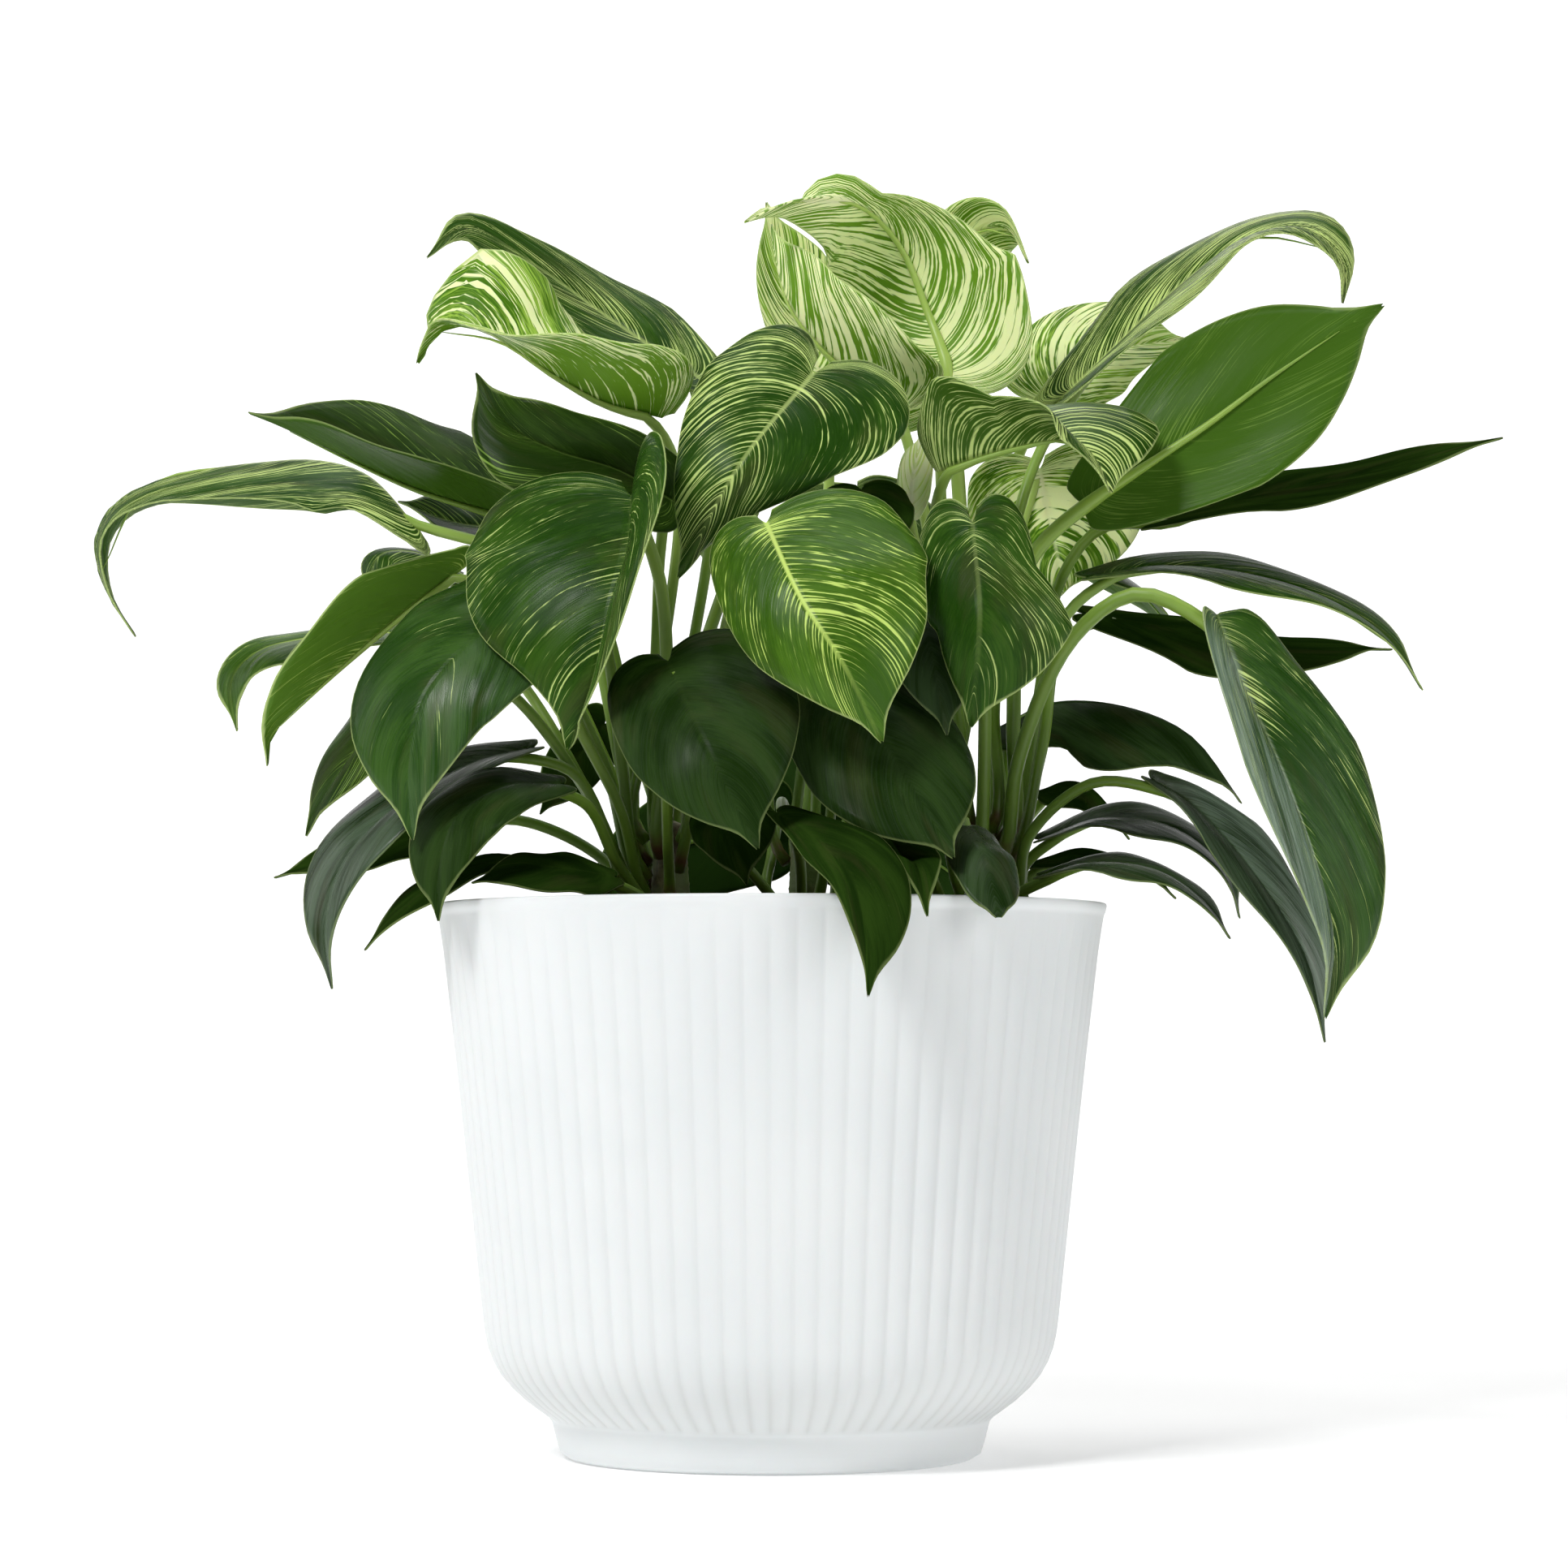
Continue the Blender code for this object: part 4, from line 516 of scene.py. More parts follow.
        [(18, 70, 171), (34, 78, 168), (50, 85, 160), (64, 90, 148)],
        [(0.25, 30, 70, 186)], [(0.25, 29, 75, 151)], (0, 1, 0.3)),
)


def unit(vector):
    """The vector at length 1."""
    vector = np.asarray(vector, float)
    return vector / np.linalg.norm(vector)


def run_along(line):
    """The distance of each point of a line from its start."""
    steps = np.linalg.norm(np.diff(line, axis=0), axis=1)
    return np.concatenate([[0], np.cumsum(steps)])


def smooth_line(points, count):
    """count + 1 evenly spaced points on a centripetal curve through the points."""
    points = np.asarray(points, float)
    ends = np.vstack([2 * points[0] - points[1], points, 2 * points[-1] - points[-2]])
    fine = []
    for a, b, c, d in zip(ends, ends[1:], ends[2:], ends[3:]):
        knots = [0.0]
        for start, end in ((a, b), (b, c), (c, d)):
            knots.append(knots[-1] + max(np.linalg.norm(end - start), 1e-6) ** 0.5)
        k0, k1, k2, k3 = knots
        t = np.linspace(k1, k2, 25)[:-1, None]
        ab = (k1 - t) / (k1 - k0) * a + (t - k0) / (k1 - k0) * b
        bc = (k2 - t) / (k2 - k1) * b + (t - k1) / (k2 - k1) * c
        cd = (k3 - t) / (k3 - k2) * c + (t - k2) / (k3 - k2) * d
        abc = (k2 - t) / (k2 - k0) * ab + (t - k0) / (k2 - k0) * bc
        bcd = (k3 - t) / (k3 - k1) * bc + (t - k1) / (k3 - k1) * cd
        fine.append((k2 - t) / (k2 - k1) * abc + (t - k1) / (k2 - k1) * bcd)
    fine = np.vstack([*fine, points[-1:]])
    along = run_along(fine)
    even = np.linspace(0, along[-1], count + 1)
    return np.stack([np.interp(even, along, fine[:, i]) for i in range(3)], axis=1)


def frames(line, face):
    """Tangents, face normals and left directions along a line, turning as little as they can."""
    tangents = np.gradient(line, axis=0)
    tangents /= np.linalg.norm(tangents, axis=1)[:, None]
    normals = [np.asarray(face, float)]
    for tangent in tangents:
        normals.append(unit(normals[-1] - tangent * (normals[-1] @ tangent)))
    normals = np.array(normals[1:])
    return tangents, normals, np.cross(normals, tangents)


class Blade:
    """The middle surface of one leaf's blade."""

    def __init__(self, leaf):
        self.leaf = leaf
        self.rib = smooth_line(leaf.rib, RIB_STEPS)
        self.length = run_along(self.rib)[-1]
        self.along, self.up, self.left = frames(self.rib, leaf.face)
        self.sides = {}
        for marks in (leaf.one_side, leaf.other_side):
            self.add_side(marks)

    def add_side(self, marks):
        """Finds the tilt and the half width that bring one side's margin to its marks."""
        arms = []
        for share, *point in marks:
            i = round(share * RIB_STEPS)
            arm = np.asarray(point, float) - self.rib[i]
            arms.append((arm @ self.left[i], arm @ self.up[i]))
        side = 1 if arms[0][0] > 0 else -1
        if side in self.sides:
            side = -side
        shares = [mark[0] for mark in marks]
        tilts = [math.atan2(rise, out * side) for out, rise in arms]
        full = np.interp(shares, *self.width_along())
        widths = [math.hypot(*arm) / width for arm, width in zip(arms, full)]
        self.sides[side] = (shares, tilts, widths)

    def width_along(self):
        """Places from the belly to the tip, and the share of the half width at each."""
        rows = np.array(HALF_MARGIN)[BELLY_ROW:]
        belly = self.leaf.belly
        return belly * rows[:, 4] + (1 - belly) * rows[:, 5], rows[:, 2]

    def margin(self, vein):
        """Where a vein leaves the rib, how far across its end is, and how far along."""
        rows = np.array(HALF_MARGIN)
        belly = self.leaf.belly
        ahead = -rows[:, 3] * self.leaf.lobe + rows[:, 4] * belly + rows[:, 5] * (1 - belly)
        table = np.stack([rows[:, 1], rows[:, 2], ahead], axis=1)
        ends = np.vstack([2 * table[0] - table[1], table, 2 * table[-1] - table[-2]])
        place = np.interp(vein, rows[:, 0], np.arange(len(rows)))
        i = np.clip(place.astype(int), 0, len(rows) - 2)
        f = (place - i)[..., None]
        a, b, c, d = (ends[i + k] for k in range(4))
        cubic = (3 * b - a - 3 * c + d) * f**3 + (2 * a - 5 * b + 4 * c - d) * f**2
        start, across, ahead = np.moveaxis((cubic + (c - a) * f + 2 * b) / 2, -1, 0)
        drawn_in = 1 - self.leaf.narrow * (1 - np.clip(ahead / belly, 0, 1))
        across = np.maximum(across, 0) ** self.leaf.blunt * drawn_in
        return start * self.length, across, ahead * self.length

    def flat(self, outward, vein):
        """Share across and distance along of a place, by its share outward on its vein."""
        start, across, ahead = self.margin(vein)
        bend = VEIN_BEND * outward * (1 - outward) + outward**2
        return across * outward, start + (ahead - start) * bend

    def place(self, across, ahead, side):
        """The point of the surface at a flat place on the left (1) or the right (-1) half."""
        step = ahead / self.length * RIB_STEPS
        inside = np.clip(step, 0, RIB_STEPS)
        i = np.minimum(inside.astype(int), RIB_STEPS - 1)
        f = (inside - i)[..., None]
        lines = (self.rib, self.along, self.up, self.left)
        point, along, up, left = (line[i] * (1 - f) + line[i + 1] * f for line in lines)
        point = point + along * ((step - inside) * self.length / RIB_STEPS)[..., None]
        share = inside / RIB_STEPS
        shares, tilts, widths = self.sides[side]
        tilt = np.interp(share, shares, tilts) * np.clip((1 - share) / TIP_SHARE, 0, 1)
        curl = math.radians(self.leaf.curl)
        radius = np.interp(share, shares, widths) / (2 * math.sin(curl / 2))
        start = tilt - curl / 2
        turn = start + curl * across
        # In its first eighth and last tenth a blade keeps a least width, so neither end is a bare line
        ends = np.clip(np.maximum(1 - share * 8, share * 10 - 9), 0, 1)
        least = END_HALF_WIDTH * np.minimum(across * 30, 1) * ends
        out = radius * (np.sin(turn) - np.sin(start)) + least * np.cos(tilt)
        rise = radius * (np.cos(start) - np.cos(turn)) + least * np.sin(tilt)
        ripple = np.sin(math.tau * RIPPLES * share + RIPPLE_START + RIPPLE_SIDE_SHIFT * side)
        rise = rise + RIPPLE_HEIGHT * ripple * across**2
        return point + left * (side * out)[..., None] + up * rise[..., None]


def crown_radius(height):
    """Radius of a crown at a height above the soil."""
    taper = (CROWN_RADIUS - CROWN_TOP_RADIUS) / CROWN_HEIGHT
    return CROWN_RADIUS - taper * max(0.0, height)


def stalk_root(leaf):
    """The first two points of a stalk, just clear of its crown."""
    x, y = CROWNS[leaf.crown]
    angle, height = leaf.root
    outward = np.array([math.cos(math.radians(angle)), math.sin(math.radians(angle)), 0.0])
    lean = math.radians(STALK_LEAN)
    radius = leaf.thick[0] * ROOT_FLARE
    gap = crown_radius(height) + CLEARANCE + radius * math.sin(lean)
    start = np.array([x, y, SOIL_TOP + height]) + outward * gap
    rising = outward * math.cos(lean) + np.array([0.0, 0.0, math.sin(lean)])
    return [start, start + rising * ROOT_RUN]


def stalk_line(leaf, blade):
    """Middle line and radii of a stalk, from its root and on as the rib under the blade."""
    base, top = leaf.thick
    under = []
    for share, depth in RIB_DEPTHS:
        i = round(share * RIB_STEPS)
        under.append(blade.rib[i] - blade.up[i] * depth * top)
    line = smooth_line([*stalk_root(leaf), *leaf.stalk, *under], STALK_POINTS)
    tail = min(RIB_REACH * blade.length / run_along(line)[-1], 0.9)
    places = [0, FLARE_SHARE * (1 - tail), 1 - tail, 1 - tail * 0.75, 1 - tail * 0.4, 1]
    sizes = [base * ROOT_FLARE, base, top, top * 0.56, top * 0.36, RIB_END_RADIUS]
    return line, np.interp(np.linspace(0, 1, STALK_POINTS + 1), places, sizes)


class Nodes:
    """Short ways to build one material's nodes. A value is a number, a tuple or a socket."""

    def __init__(self, name):
        self.material = bpy.data.materials.new(name)
        self.material.use_nodes = True
        self.tree = self.material.node_tree
        self.shader = self.tree.nodes["Principled BSDF"]

    def put(self, socket, value):
        """Links a socket to the input, or sets the input's own value."""
        if isinstance(value, bpy.types.NodeSocket):
            self.tree.links.new(value, socket)
        elif isinstance(value, tuple) and socket.type == "RGBA":
            socket.default_value = (*value, 1.0)
        else:
            socket.default_value = value

    def set(self, **inputs):
        """Sets the shader's inputs by their names, with _ for a space."""
        for name, value in inputs.items():
            self.put(self.shader.inputs[name.replace("_", " ")], value)

    def attribute(self, name):
        """The three parts of a mesh attribute."""
        node = self.tree.nodes.new("ShaderNodeAttribute")
        node.attribute_name = name
        split = self.tree.nodes.new("ShaderNodeSeparateXYZ")
        self.put(split.inputs[0], node.outputs["Vector"])
        return tuple(split.outputs)

    def place(self):
        """The point in the object's own space, in metres."""
        return self.tree.nodes.new("ShaderNodeTexCoord").outputs["Object"]

    def math(self, operation, a, b=0.0):
        """One step of arithmetic."""
        node = self.tree.nodes.new("ShaderNodeMath")
        node.operation = operation
        self.put(node.inputs[0], a)
        self.put(node.inputs[1], b)
        return node.outputs[0]

    def plus(self, a, b):
        """The sum of two values."""
        return self.math("ADD", a, b)

    def minus(self, a, b):
        """The first value less the second."""
        return self.math("SUBTRACT", a, b)

    def times(self, a, b):
        """The product of two values."""
        return self.math("MULTIPLY", a, b)

    def centred(self, noise, size):
        """A noise brought to swing about 0, times a size."""
        return self.times(self.minus(noise, 0.5), size)

    def noise(self, vector, scale=1.0, detail=2.0, rough=0.5):
        """Noise about 0.5 at a vector."""
        node = self.tree.nodes.new("ShaderNodeTexNoise")
        self.put(node.inputs["Vector"], vector)
        node.inputs["Scale"].default_value = scale
        node.inputs["Detail"].default_value = detail
        node.inputs["Roughness"].default_value = rough
        return node.outputs["Fac"]

    def leaf_noise(self, place, across, along, detail, rough=0.5, seed=1.0):
        """Noise at a place of a leaf, by its scales per millimetre across and along the veins."""
        node = self.tree.nodes.new("ShaderNodeCombineXYZ")
        for socket, value, factor in zip(node.inputs, place, (across, along, seed)):
            self.put(socket, self.times(value, factor))
        return self.noise(node.outputs[0], detail=detail, rough=rough)

    def step(self, value, low, high, to_low=0.0, to_high=1.0):
        """A smooth change from one level to another between two values."""
        node = self.tree.nodes.new("ShaderNodeMapRange")
        node.interpolation_type = "SMOOTHSTEP"
        for socket, given in zip(node.inputs, (value, low, high, to_low, to_high)):
            self.put(socket, given)
        return node.outputs[0]

    def mix(self, factor, a, b):
        """Colour a at factor 0, b at 1."""
        node = self.tree.nodes.new("ShaderNodeMix")
        node.data_type = "RGBA"
        for name, value in (("Factor_Float", factor), ("A_Color", a), ("B_Color", b)):
            self.put(next(s for s in node.inputs if s.identifier == name), value)
        return next(s for s in node.outputs if s.identifier == "Result_Color")

    def bump(self, height, distance, strength=1.0, under=None):
        """A normal from a height, over an earlier normal."""
        node = self.tree.nodes.new("ShaderNodeBump")
        node.inputs["Strength"].default_value = strength
        node.inputs["Distance"].default_value = distance
        self.put(node.inputs["Height"], height)
        if under:
            self.put(node.inputs["Normal"], under)
        return node.outputs[0]

    def let_light_in(self, weight):
        """Lets some light into green tissue, which spreads furthest in its green part."""
        self.set(Subsurface_Weight=weight, Subsurface_Scale=SAP_DEPTH)
        self.shader.inputs["Subsurface Radius"].default_value = SAP_REACH


def vein_lines(n, place, spacing, fine, gain, stir):
    """Stripes along the veins: evenly spaced, each with its own width, and breaking up."""
    across, along, seed = place
    wander = n.leaf_noise(place, *WANDER, detail=1.0)
    lane = n.plus(n.math("DIVIDE", across, spacing), n.times(wander, 2.5))
    index = n.math("FLOOR", lane)
    off = n.math("ABSOLUTE", n.minus(n.minus(lane, index), 0.5))
    strength = n.leaf_noise((index, along, seed), 3.71, 0.045, detail=1.0)
    width = n.plus(n.centred(strength, gain), fine)
    return n.step(n.minus(n.plus(width, stir), off), *STRIPE_EDGE)


def leaf_stripes(n, look, place, rib, share, own, dash):
    """How much of the stripe colour shows: stripes that gather along the rib, and the rib."""
    across, along, seed = place
    near = n.times(n.step(rib, 0.3, 6.0, 1.0, 0.0), n.step(share, 0.35, 0.9, 1.0, 0.1))
    near = n.times(near, n.step(own, -0.16, -0.05))
    crowding = n.leaf_noise(place, *CROWDING, detail=1.0)
    ragged = n.times(n.step(rib, 1.0, 14.0, 0.35, 1.0), look["ragged"])
    stir = n.plus(n.centred(dash, ragged), n.centred(crowding, 0.5))
    stir = n.plus(n.plus(stir, own), n.times(near, look["glow"]))
    stripes = 0.0
    for shift, spacing, share_of_width in STRIPE_SETS:
        lines = vein_lines(n, (across, along, n.plus(seed, shift)), spacing,
                           look["fine"] * share_of_width, look["gain"], stir)
        stripes = n.math("MAXIMUM", stripes, lines)
    middle = n.times(n.step(rib, 0.2, 0.8, 1.0, 0.0), look["rib"])
    middle = n.times(middle, n.step(share, 0.35, 0.85, 1.0, 0.1))
    middle = n.times(middle, n.step(own, -0.07, -0.01))
    return n.math("MAXIMUM", stripes, middle)


def leaf_material(tone):
    """The blade of one kind of leaf: green with stripes, dashes and veins that follow its form."""
    look = LEAF_LOOKS[tone]
    n = Nodes("leaf " + tone)
    across, along, number = n.attribute("vein")
    rim, rib, share = n.attribute("edge")
    upper, own, sheen = n.attribute("face")
    seed = n.times(number, SEED_STEP)
    place = (across, along, seed)

    dash = n.leaf_noise((across, along, n.plus(seed, 8.3)), *DASHES, detail=1.5)
    stripes = leaf_stripes(n, look, place, rib, share, own, dash)
    patches = n.leaf_noise(place, *PATCHES, detail=3.0)
    mottled = n.plus(patches, n.centred(dash, look["ragged"]))
    green = n.mix(n.step(mottled, 0.35, 0.68), look["deep"], look["light"])
    bronze = n.leaf_noise((across, along, n.plus(seed, 3.1)), *BRONZE_PATCHES, detail=3.0)
    green = n.mix(n.times(n.step(bronze, 0.5, 0.7), look["dust"]), green, BRONZE_COLOUR)
    top = n.mix(stripes, green, look["line"])
    below = n.mix(n.times(stripes, look["below"]), look["under"], look["line"])
    colour = n.mix(upper, below, top)
    colour = n.mix(n.step(rim, 0.05, 0.3, look["edge"], 0.0), colour, RIM_COLOUR)

    grain = n.leaf_noise(place, *SPECKS, detail=2.0, rough=0.7)
    where = n.step(n.leaf_noise(place, *SPECKED_AREAS, detail=2.0, seed=2.0), 0.45, 0.65)
    specks = n.times(n.step(grain, 0.70, 0.76), where)
    dust = n.times(n.times(specks, look["dust"]), upper)
    colour = n.mix(dust, colour, SPECK_COLOUR)

    fibres = n.leaf_noise(place, *FIBRES, detail=2.0)
    # Painted sheen: pale blue-grey streaks mixed into the colour by the leaf's sheen, besides the real
    # gloss it sets below
    streaks = n.step(n.plus(fibres, n.centred(patches, 1.2)), 0.25, 0.7)
    wax = n.times(n.times(streaks, sheen), n.step(share, 0.0, 0.15))
    colour = n.mix(n.times(wax, 0.75), colour, WAX_COLOUR)
    pucker = n.leaf_noise(place, *PUCKERS, detail=1.0)
    relief = n.bump(pucker, PUCKER_HEIGHT, 0.45 * look["relief"])
    relief = n.bump(fibres, FIBRE_HEIGHT, 0.25 * look["relief"], relief)
    relief = n.bump(n.step(rib, 0.0, 1.3), RIB_GROOVE, 0.6 * look["relief"], relief)
    cloud = n.leaf_noise(place, *GLOSS_CLOUDS, detail=3.0)
    rough = n.step(cloud, 0.3, 0.7, look["roughness"] - 0.05, look["roughness"] + 0.11)
    n.set(Base_Color=colour, Roughness=n.plus(rough, n.times(dust, 0.3)), Normal=relief)
    n.set(Specular_IOR_Level=n.plus(n.times(sheen, 0.9), look["gloss"]))
    n.let_light_in(look["glowing"])
    return n.material


def stalk_material():
    """Stalks: fresh green, paler to the top, brown at the foot, with fine lengthwise streaks."""
    n = Nodes("leaf stalk")
    around, along, number = n.attribute("vein")
    height = n.attribute("edge")[2]
    pale = n.attribute("face")[2]
    place = (around, along, n.times(number, SEED_STEP))
    streak = n.leaf_noise(place, *STALK_STREAKS, detail=2.0)
    mottle = n.leaf_noise(place, *STALK_MOTTLES, detail=3.0)
    green = n.mix(n.step(streak, 0.35, 0.7), *STALK_GREENS)
    green = n.mix(n.step(height, 0.05, 0.55), n.mix(mottle, *STALK_LOW_GREENS), green)
    green = n.mix(n.times(pale, n.step(height, 0.2, 0.6)), green, STALK_PALE)
    foot = n.times(n.step(height, 0.015, 0.06, 1.0, 0.0), n.step(mottle, 0.35, 0.6))
    n.set(Base_Color=n.mix(foot, green, STALK_FOOT))
    n.set(Roughness=n.step(mottle, 0.3, 0.7, 0.34, 0.5), Normal=n.bump(streak, STALK_RELIEF, 0.6))
    n.let_light_in(0.2)
    return n.material


def pot_material():
    """Cool white moulded plastic with a soft gloss, with painted shade in its grooves and where it
    turns under.
    """
    n = Nodes("pot plastic")
    place = n.place()
    depth, under, _ = n.attribute("groove")
    # Painted shade: darker where the wall faces down, and darker again deep in the flutes
    shade = n.times(under, 0.3)
    groove = n.plus(n.times(n.step(depth, 0.0, 1.0), n.plus(shade, 0.05)), shade)
    cloud = n.noise(place, scale=22.0, detail=3.0)
    grain = n.noise(place, scale=900.0, detail=2.0)
    white = n.mix(n.step(cloud, 0.3, 0.7), *POT_WHITES)
    n.set(Base_Color=n.mix(groove, white, POT_GROOVE))
    n.set(Roughness=n.step(cloud, 0.3, 0.7, 0.36, 0.46), Normal=n.bump(grain, POT_GRAIN, 0.35))
    n.set(Subsurface_Weight=0.05, Subsurface_Scale=0.002)
    return n.material


def soil_material():
    """Dark, moist potting mix."""
    n = Nodes("potting mix")
    place = n.place()
    crumbs = n.noise(place, scale=420.0, detail=4.0, rough=0.65)
    damp = n.noise(place, scale=40.0, detail=2.0)
    brown = n.mix(n.step(crumbs, 0.35, 0.7), *SOIL_BROWNS)
    n.set(Base_Color=n.mix(n.step(damp, 0.3, 0.7, 0.0, 0.5), brown, SOIL_DAMP))
    n.set(Roughness=n.step(damp, 0.3, 0.7, 0.75, 0.95), Normal=n.bump(crumbs, SOIL_RELIEF, 0.9))
    return n.material


def crown_material():
    """The short stems, with dry sheaths and rings where old leaves have dropped."""
    n = Nodes("crown stem")
    place = n.place()
    fibre = n.noise(place, scale=260.0, detail=4.0, rough=0.6)
    patch = n.noise(place, scale=60.0, detail=2.0)
    bark = n.mix(n.step(fibre, 0.35, 0.7), *BARK_COLOURS)
    n.set(Base_Color=n.mix(n.step(patch, 0.42, 0.6), bark, BARK_GREEN))
    n.set(Roughness=0.6, Normal=n.bump(fibre, BARK_RELIEF, 0.7))
    return n.material


def add_piece(name, points, faces, materials, node, slot, attributes=None, second=0):
    """A smooth mesh piece from points in millimetres, standing for one node of the model.

    The last faces, as many as second says, take the second material.
    """
    mesh = bpy.data.meshes.new(name)
    mesh.from_pydata((np.asarray(points) * MM).tolist(), [], faces)
    mesh.shade_smooth()
    for finish in materials:
        mesh.materials.append(finish)
    if second:
        kinds = np.zeros(len(mesh.polygons), np.int32)
        kinds[-second:] = 1
        mesh.polygons.foreach_set("material_index", kinds)
    for key, values in (attributes or {}).items():
        layer = mesh.attributes.new(key, "FLOAT_VECTOR", "POINT")
        layer.data.foreach_set("vector", np.asarray(values, np.float32).ravel())
    piece = bpy.data.objects.new(name, mesh)
    bpy.context.scene.collection.objects.link(piece)
    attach(piece, "root")
    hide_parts(node)
    return piece


def grid_faces(rows, columns, start=0, closed=False):
    """Quads over a grid of rows of points, wrapping round where it is closed."""
    faces = []
    for row in range(rows - 1):
        for column in range(columns if closed else columns - 1):
            a = start + row * columns + column
            b = start + row * columns + (column + 1) % columns
            faces.append((a, b, b + columns, a + columns))
    return faces


def stack_faces(rings, columns, start=0, turned=False):
    """Quads and both end faces of a stack of closed rings, turned over where it is asked."""
    faces = grid_faces(rings, columns, start, closed=True)
    last = start + (rings - 1) * columns
    faces.append(tuple(range(last, last + columns)))
    faces.append(tuple(reversed(range(start, start + columns))))
    return [face[::-1] for face in faces] if turned else faces


def vein_measures(blade, across, ahead, outward, veins):
    """For each place of a half: distance across the veins and out along its vein.

    The drawn veins sweep further towards the tip than the mesh's own lines.
    """
    width = np.mean([np.mean(widths) for _, _, widths in blade.sides.values()])
    margin_x, margin_y = across[:, -1] * width, ahead[:, -1]
    round_margin = run_along(np.stack([margin_x, margin_y], axis=1))
    start = blade.margin(veins[:, 0])[0]
    crossing = (round_margin + start) / 2
    sweep = VEIN_SWEEP * outward**SWEEP_POWER
    swept = (veins - sweep) / (1 - sweep)
    label = np.interp(swept, veins[:, 0], crossing) + np.minimum(swept, 0) * crossing[-1]
    reach = np.hypot(margin_x, margin_y - start)
    return label, outward * reach[:, None]


def blade_grid(blade, number):
    """Points, normals and shading values of a blade's middle surface, base to tip.

    vein holds the distances across and out along the veins and the leaf's number, and edge the
    distances from the margin and from the rib and the share of the blade's length.
    """
    shares = np.linspace(0, 1, HALF_BLADE_COLUMNS + 1) ** COLUMN_CROWDING
    veins, outward = np.meshgrid(np.linspace(0, 1, BLADE_ROWS + 1), shares, indexing="ij")
    across, ahead = blade.flat(outward, veins)
    crossing, out = vein_measures(blade, across, ahead, outward, veins)
    halves = []
    for side in (1, -1):
        vein = np.stack([crossing, out * side, np.full_like(out, number)], axis=-1)
        rib = across * np.mean(blade.sides[side][2])
        rim = (1 - outward) * np.maximum(rib[:, -1:], 3.0)
        edge = np.stack([rim, rib, ahead / blade.length], axis=-1)
        halves.append((blade.place(across, ahead, side), vein, edge))
    joined = [np.concatenate([left[:, ::-1], right[:, 1:]], axis=1) for left, right in zip(*halves)]
    points, vein, edge = joined
    down, right = np.gradient(points, axis=0), np.gradient(points, axis=1)
    normals = np.cross(right, down)
    normals /= np.maximum(np.linalg.norm(normals, axis=-1), 1e-9)[..., None]
    return points, normals, vein, edge


def blade_faces(rows, width):
    """The faces of a blade's upper sheet, lower sheet and the edge between them."""
    count = rows * width
    upper = grid_faces(rows, width)
    faces = upper + [tuple(count + i for i in reversed(face)) for face in upper]
    border = list(range(width))
    border += [row * width + width - 1 for row in range(1, rows)]
    border += [(rows - 1) * width + column for column in range(width - 2, -1, -1)]
    border += [row * width for row in range(rows - 2, 0, -1)]
    for a, b in zip(border, border[1:] + border[:1]):
        faces.append((b, a, count + a, count + b))
    return faces


def stalk_tube(line, radii, number):
    """Points of a stalk's rings, and the shading values that match a blade's vein and edge."""
    _, up, left = frames(line, TUBE_FACING)
    angle = np.arange(STALK_FACETS) * math.tau / STALK_FACETS
    ring = np.cos(angle)[None, :, None] * up[:, None] + np.sin(angle)[None, :, None] * left[:, None]
    tube = line[:, None] + ring * radii[:, None, None]
    vein = np.zeros_like(tube)
    vein[..., 0] = np.abs(np.sin(angle / 2))[None] * STREAK_SPREAD
    vein[..., 1] = run_along(line)[:, None]
    vein[..., 2] = number
    edge = np.zeros_like(tube)
    edge[..., 2] = np.linspace(0, 1, len(line))[:, None]
    return tube, vein, edge


def make_leaf(leaf, number, finishes):
    """One leaf: a thin blade, thinner to its margin, and a stalk that runs on as its rib."""
    blade = Blade(leaf)
    points, normals, vein, edge = blade_grid(blade, number)
    rows, width, _ = points.shape
    sheets = 2 * rows * width
    thin = np.clip(edge[..., :1] / THINNING_WIDTH, 0, 1)
    half = normals * (EDGE_THICKNESS + (BLADE_THICKNESS - EDGE_THICKNESS) * thin) / 2
    tube, tube_vein, tube_edge = stalk_tube(*stalk_line(leaf, blade), number)
    faces = blade_faces(rows, width)
    tube_faces = stack_faces(len(tube), STALK_FACETS, sheets, turned=True)
    # Whether the point is on the upper side, the stripes' own width, and sheen or a pale stalk
    face = np.zeros((sheets + tube.size // 3, 3))
    face[: sheets // 2, 0] = 1
    face[:, 1] = leaf.stripes
    one, other = leaf.sheen
    columns = [one] * HALF_BLADE_COLUMNS + [other] * (width - HALF_BLADE_COLUMNS)
    face[:sheets, 2] = np.tile(columns, 2 * rows)
    face[sheets:, 2] = LEAF_LOOKS[leaf.tone]["stalk"]
    stacks = ((points + half, points - half, tube), (vein, vein, tube_vein), (edge, edge, tube_edge))
    points, vein, edge = (np.vstack([part.reshape(-1, 3) for part in parts]) for parts in stacks)
    attributes = {"vein": vein, "edge": edge, "face": face}
    materials = (finishes[leaf.tone], finishes["stalk"])
    return add_piece("look_" + leaf.name, points, faces + tube_faces, materials,
                     "leaf_" + leaf.name, "leaf_" + leaf.tone, attributes, len(tube_faces))


def ring_points(radius, height, columns, swell=0.0):
    """Points of a level ring, with an addition to the radius for each where given."""
    angle = np.arange(columns) * math.tau / columns
    reach = radius + swell
    return np.stack([reach * np.cos(angle), reach * np.sin(angle), np.full(columns, height)], axis=1)


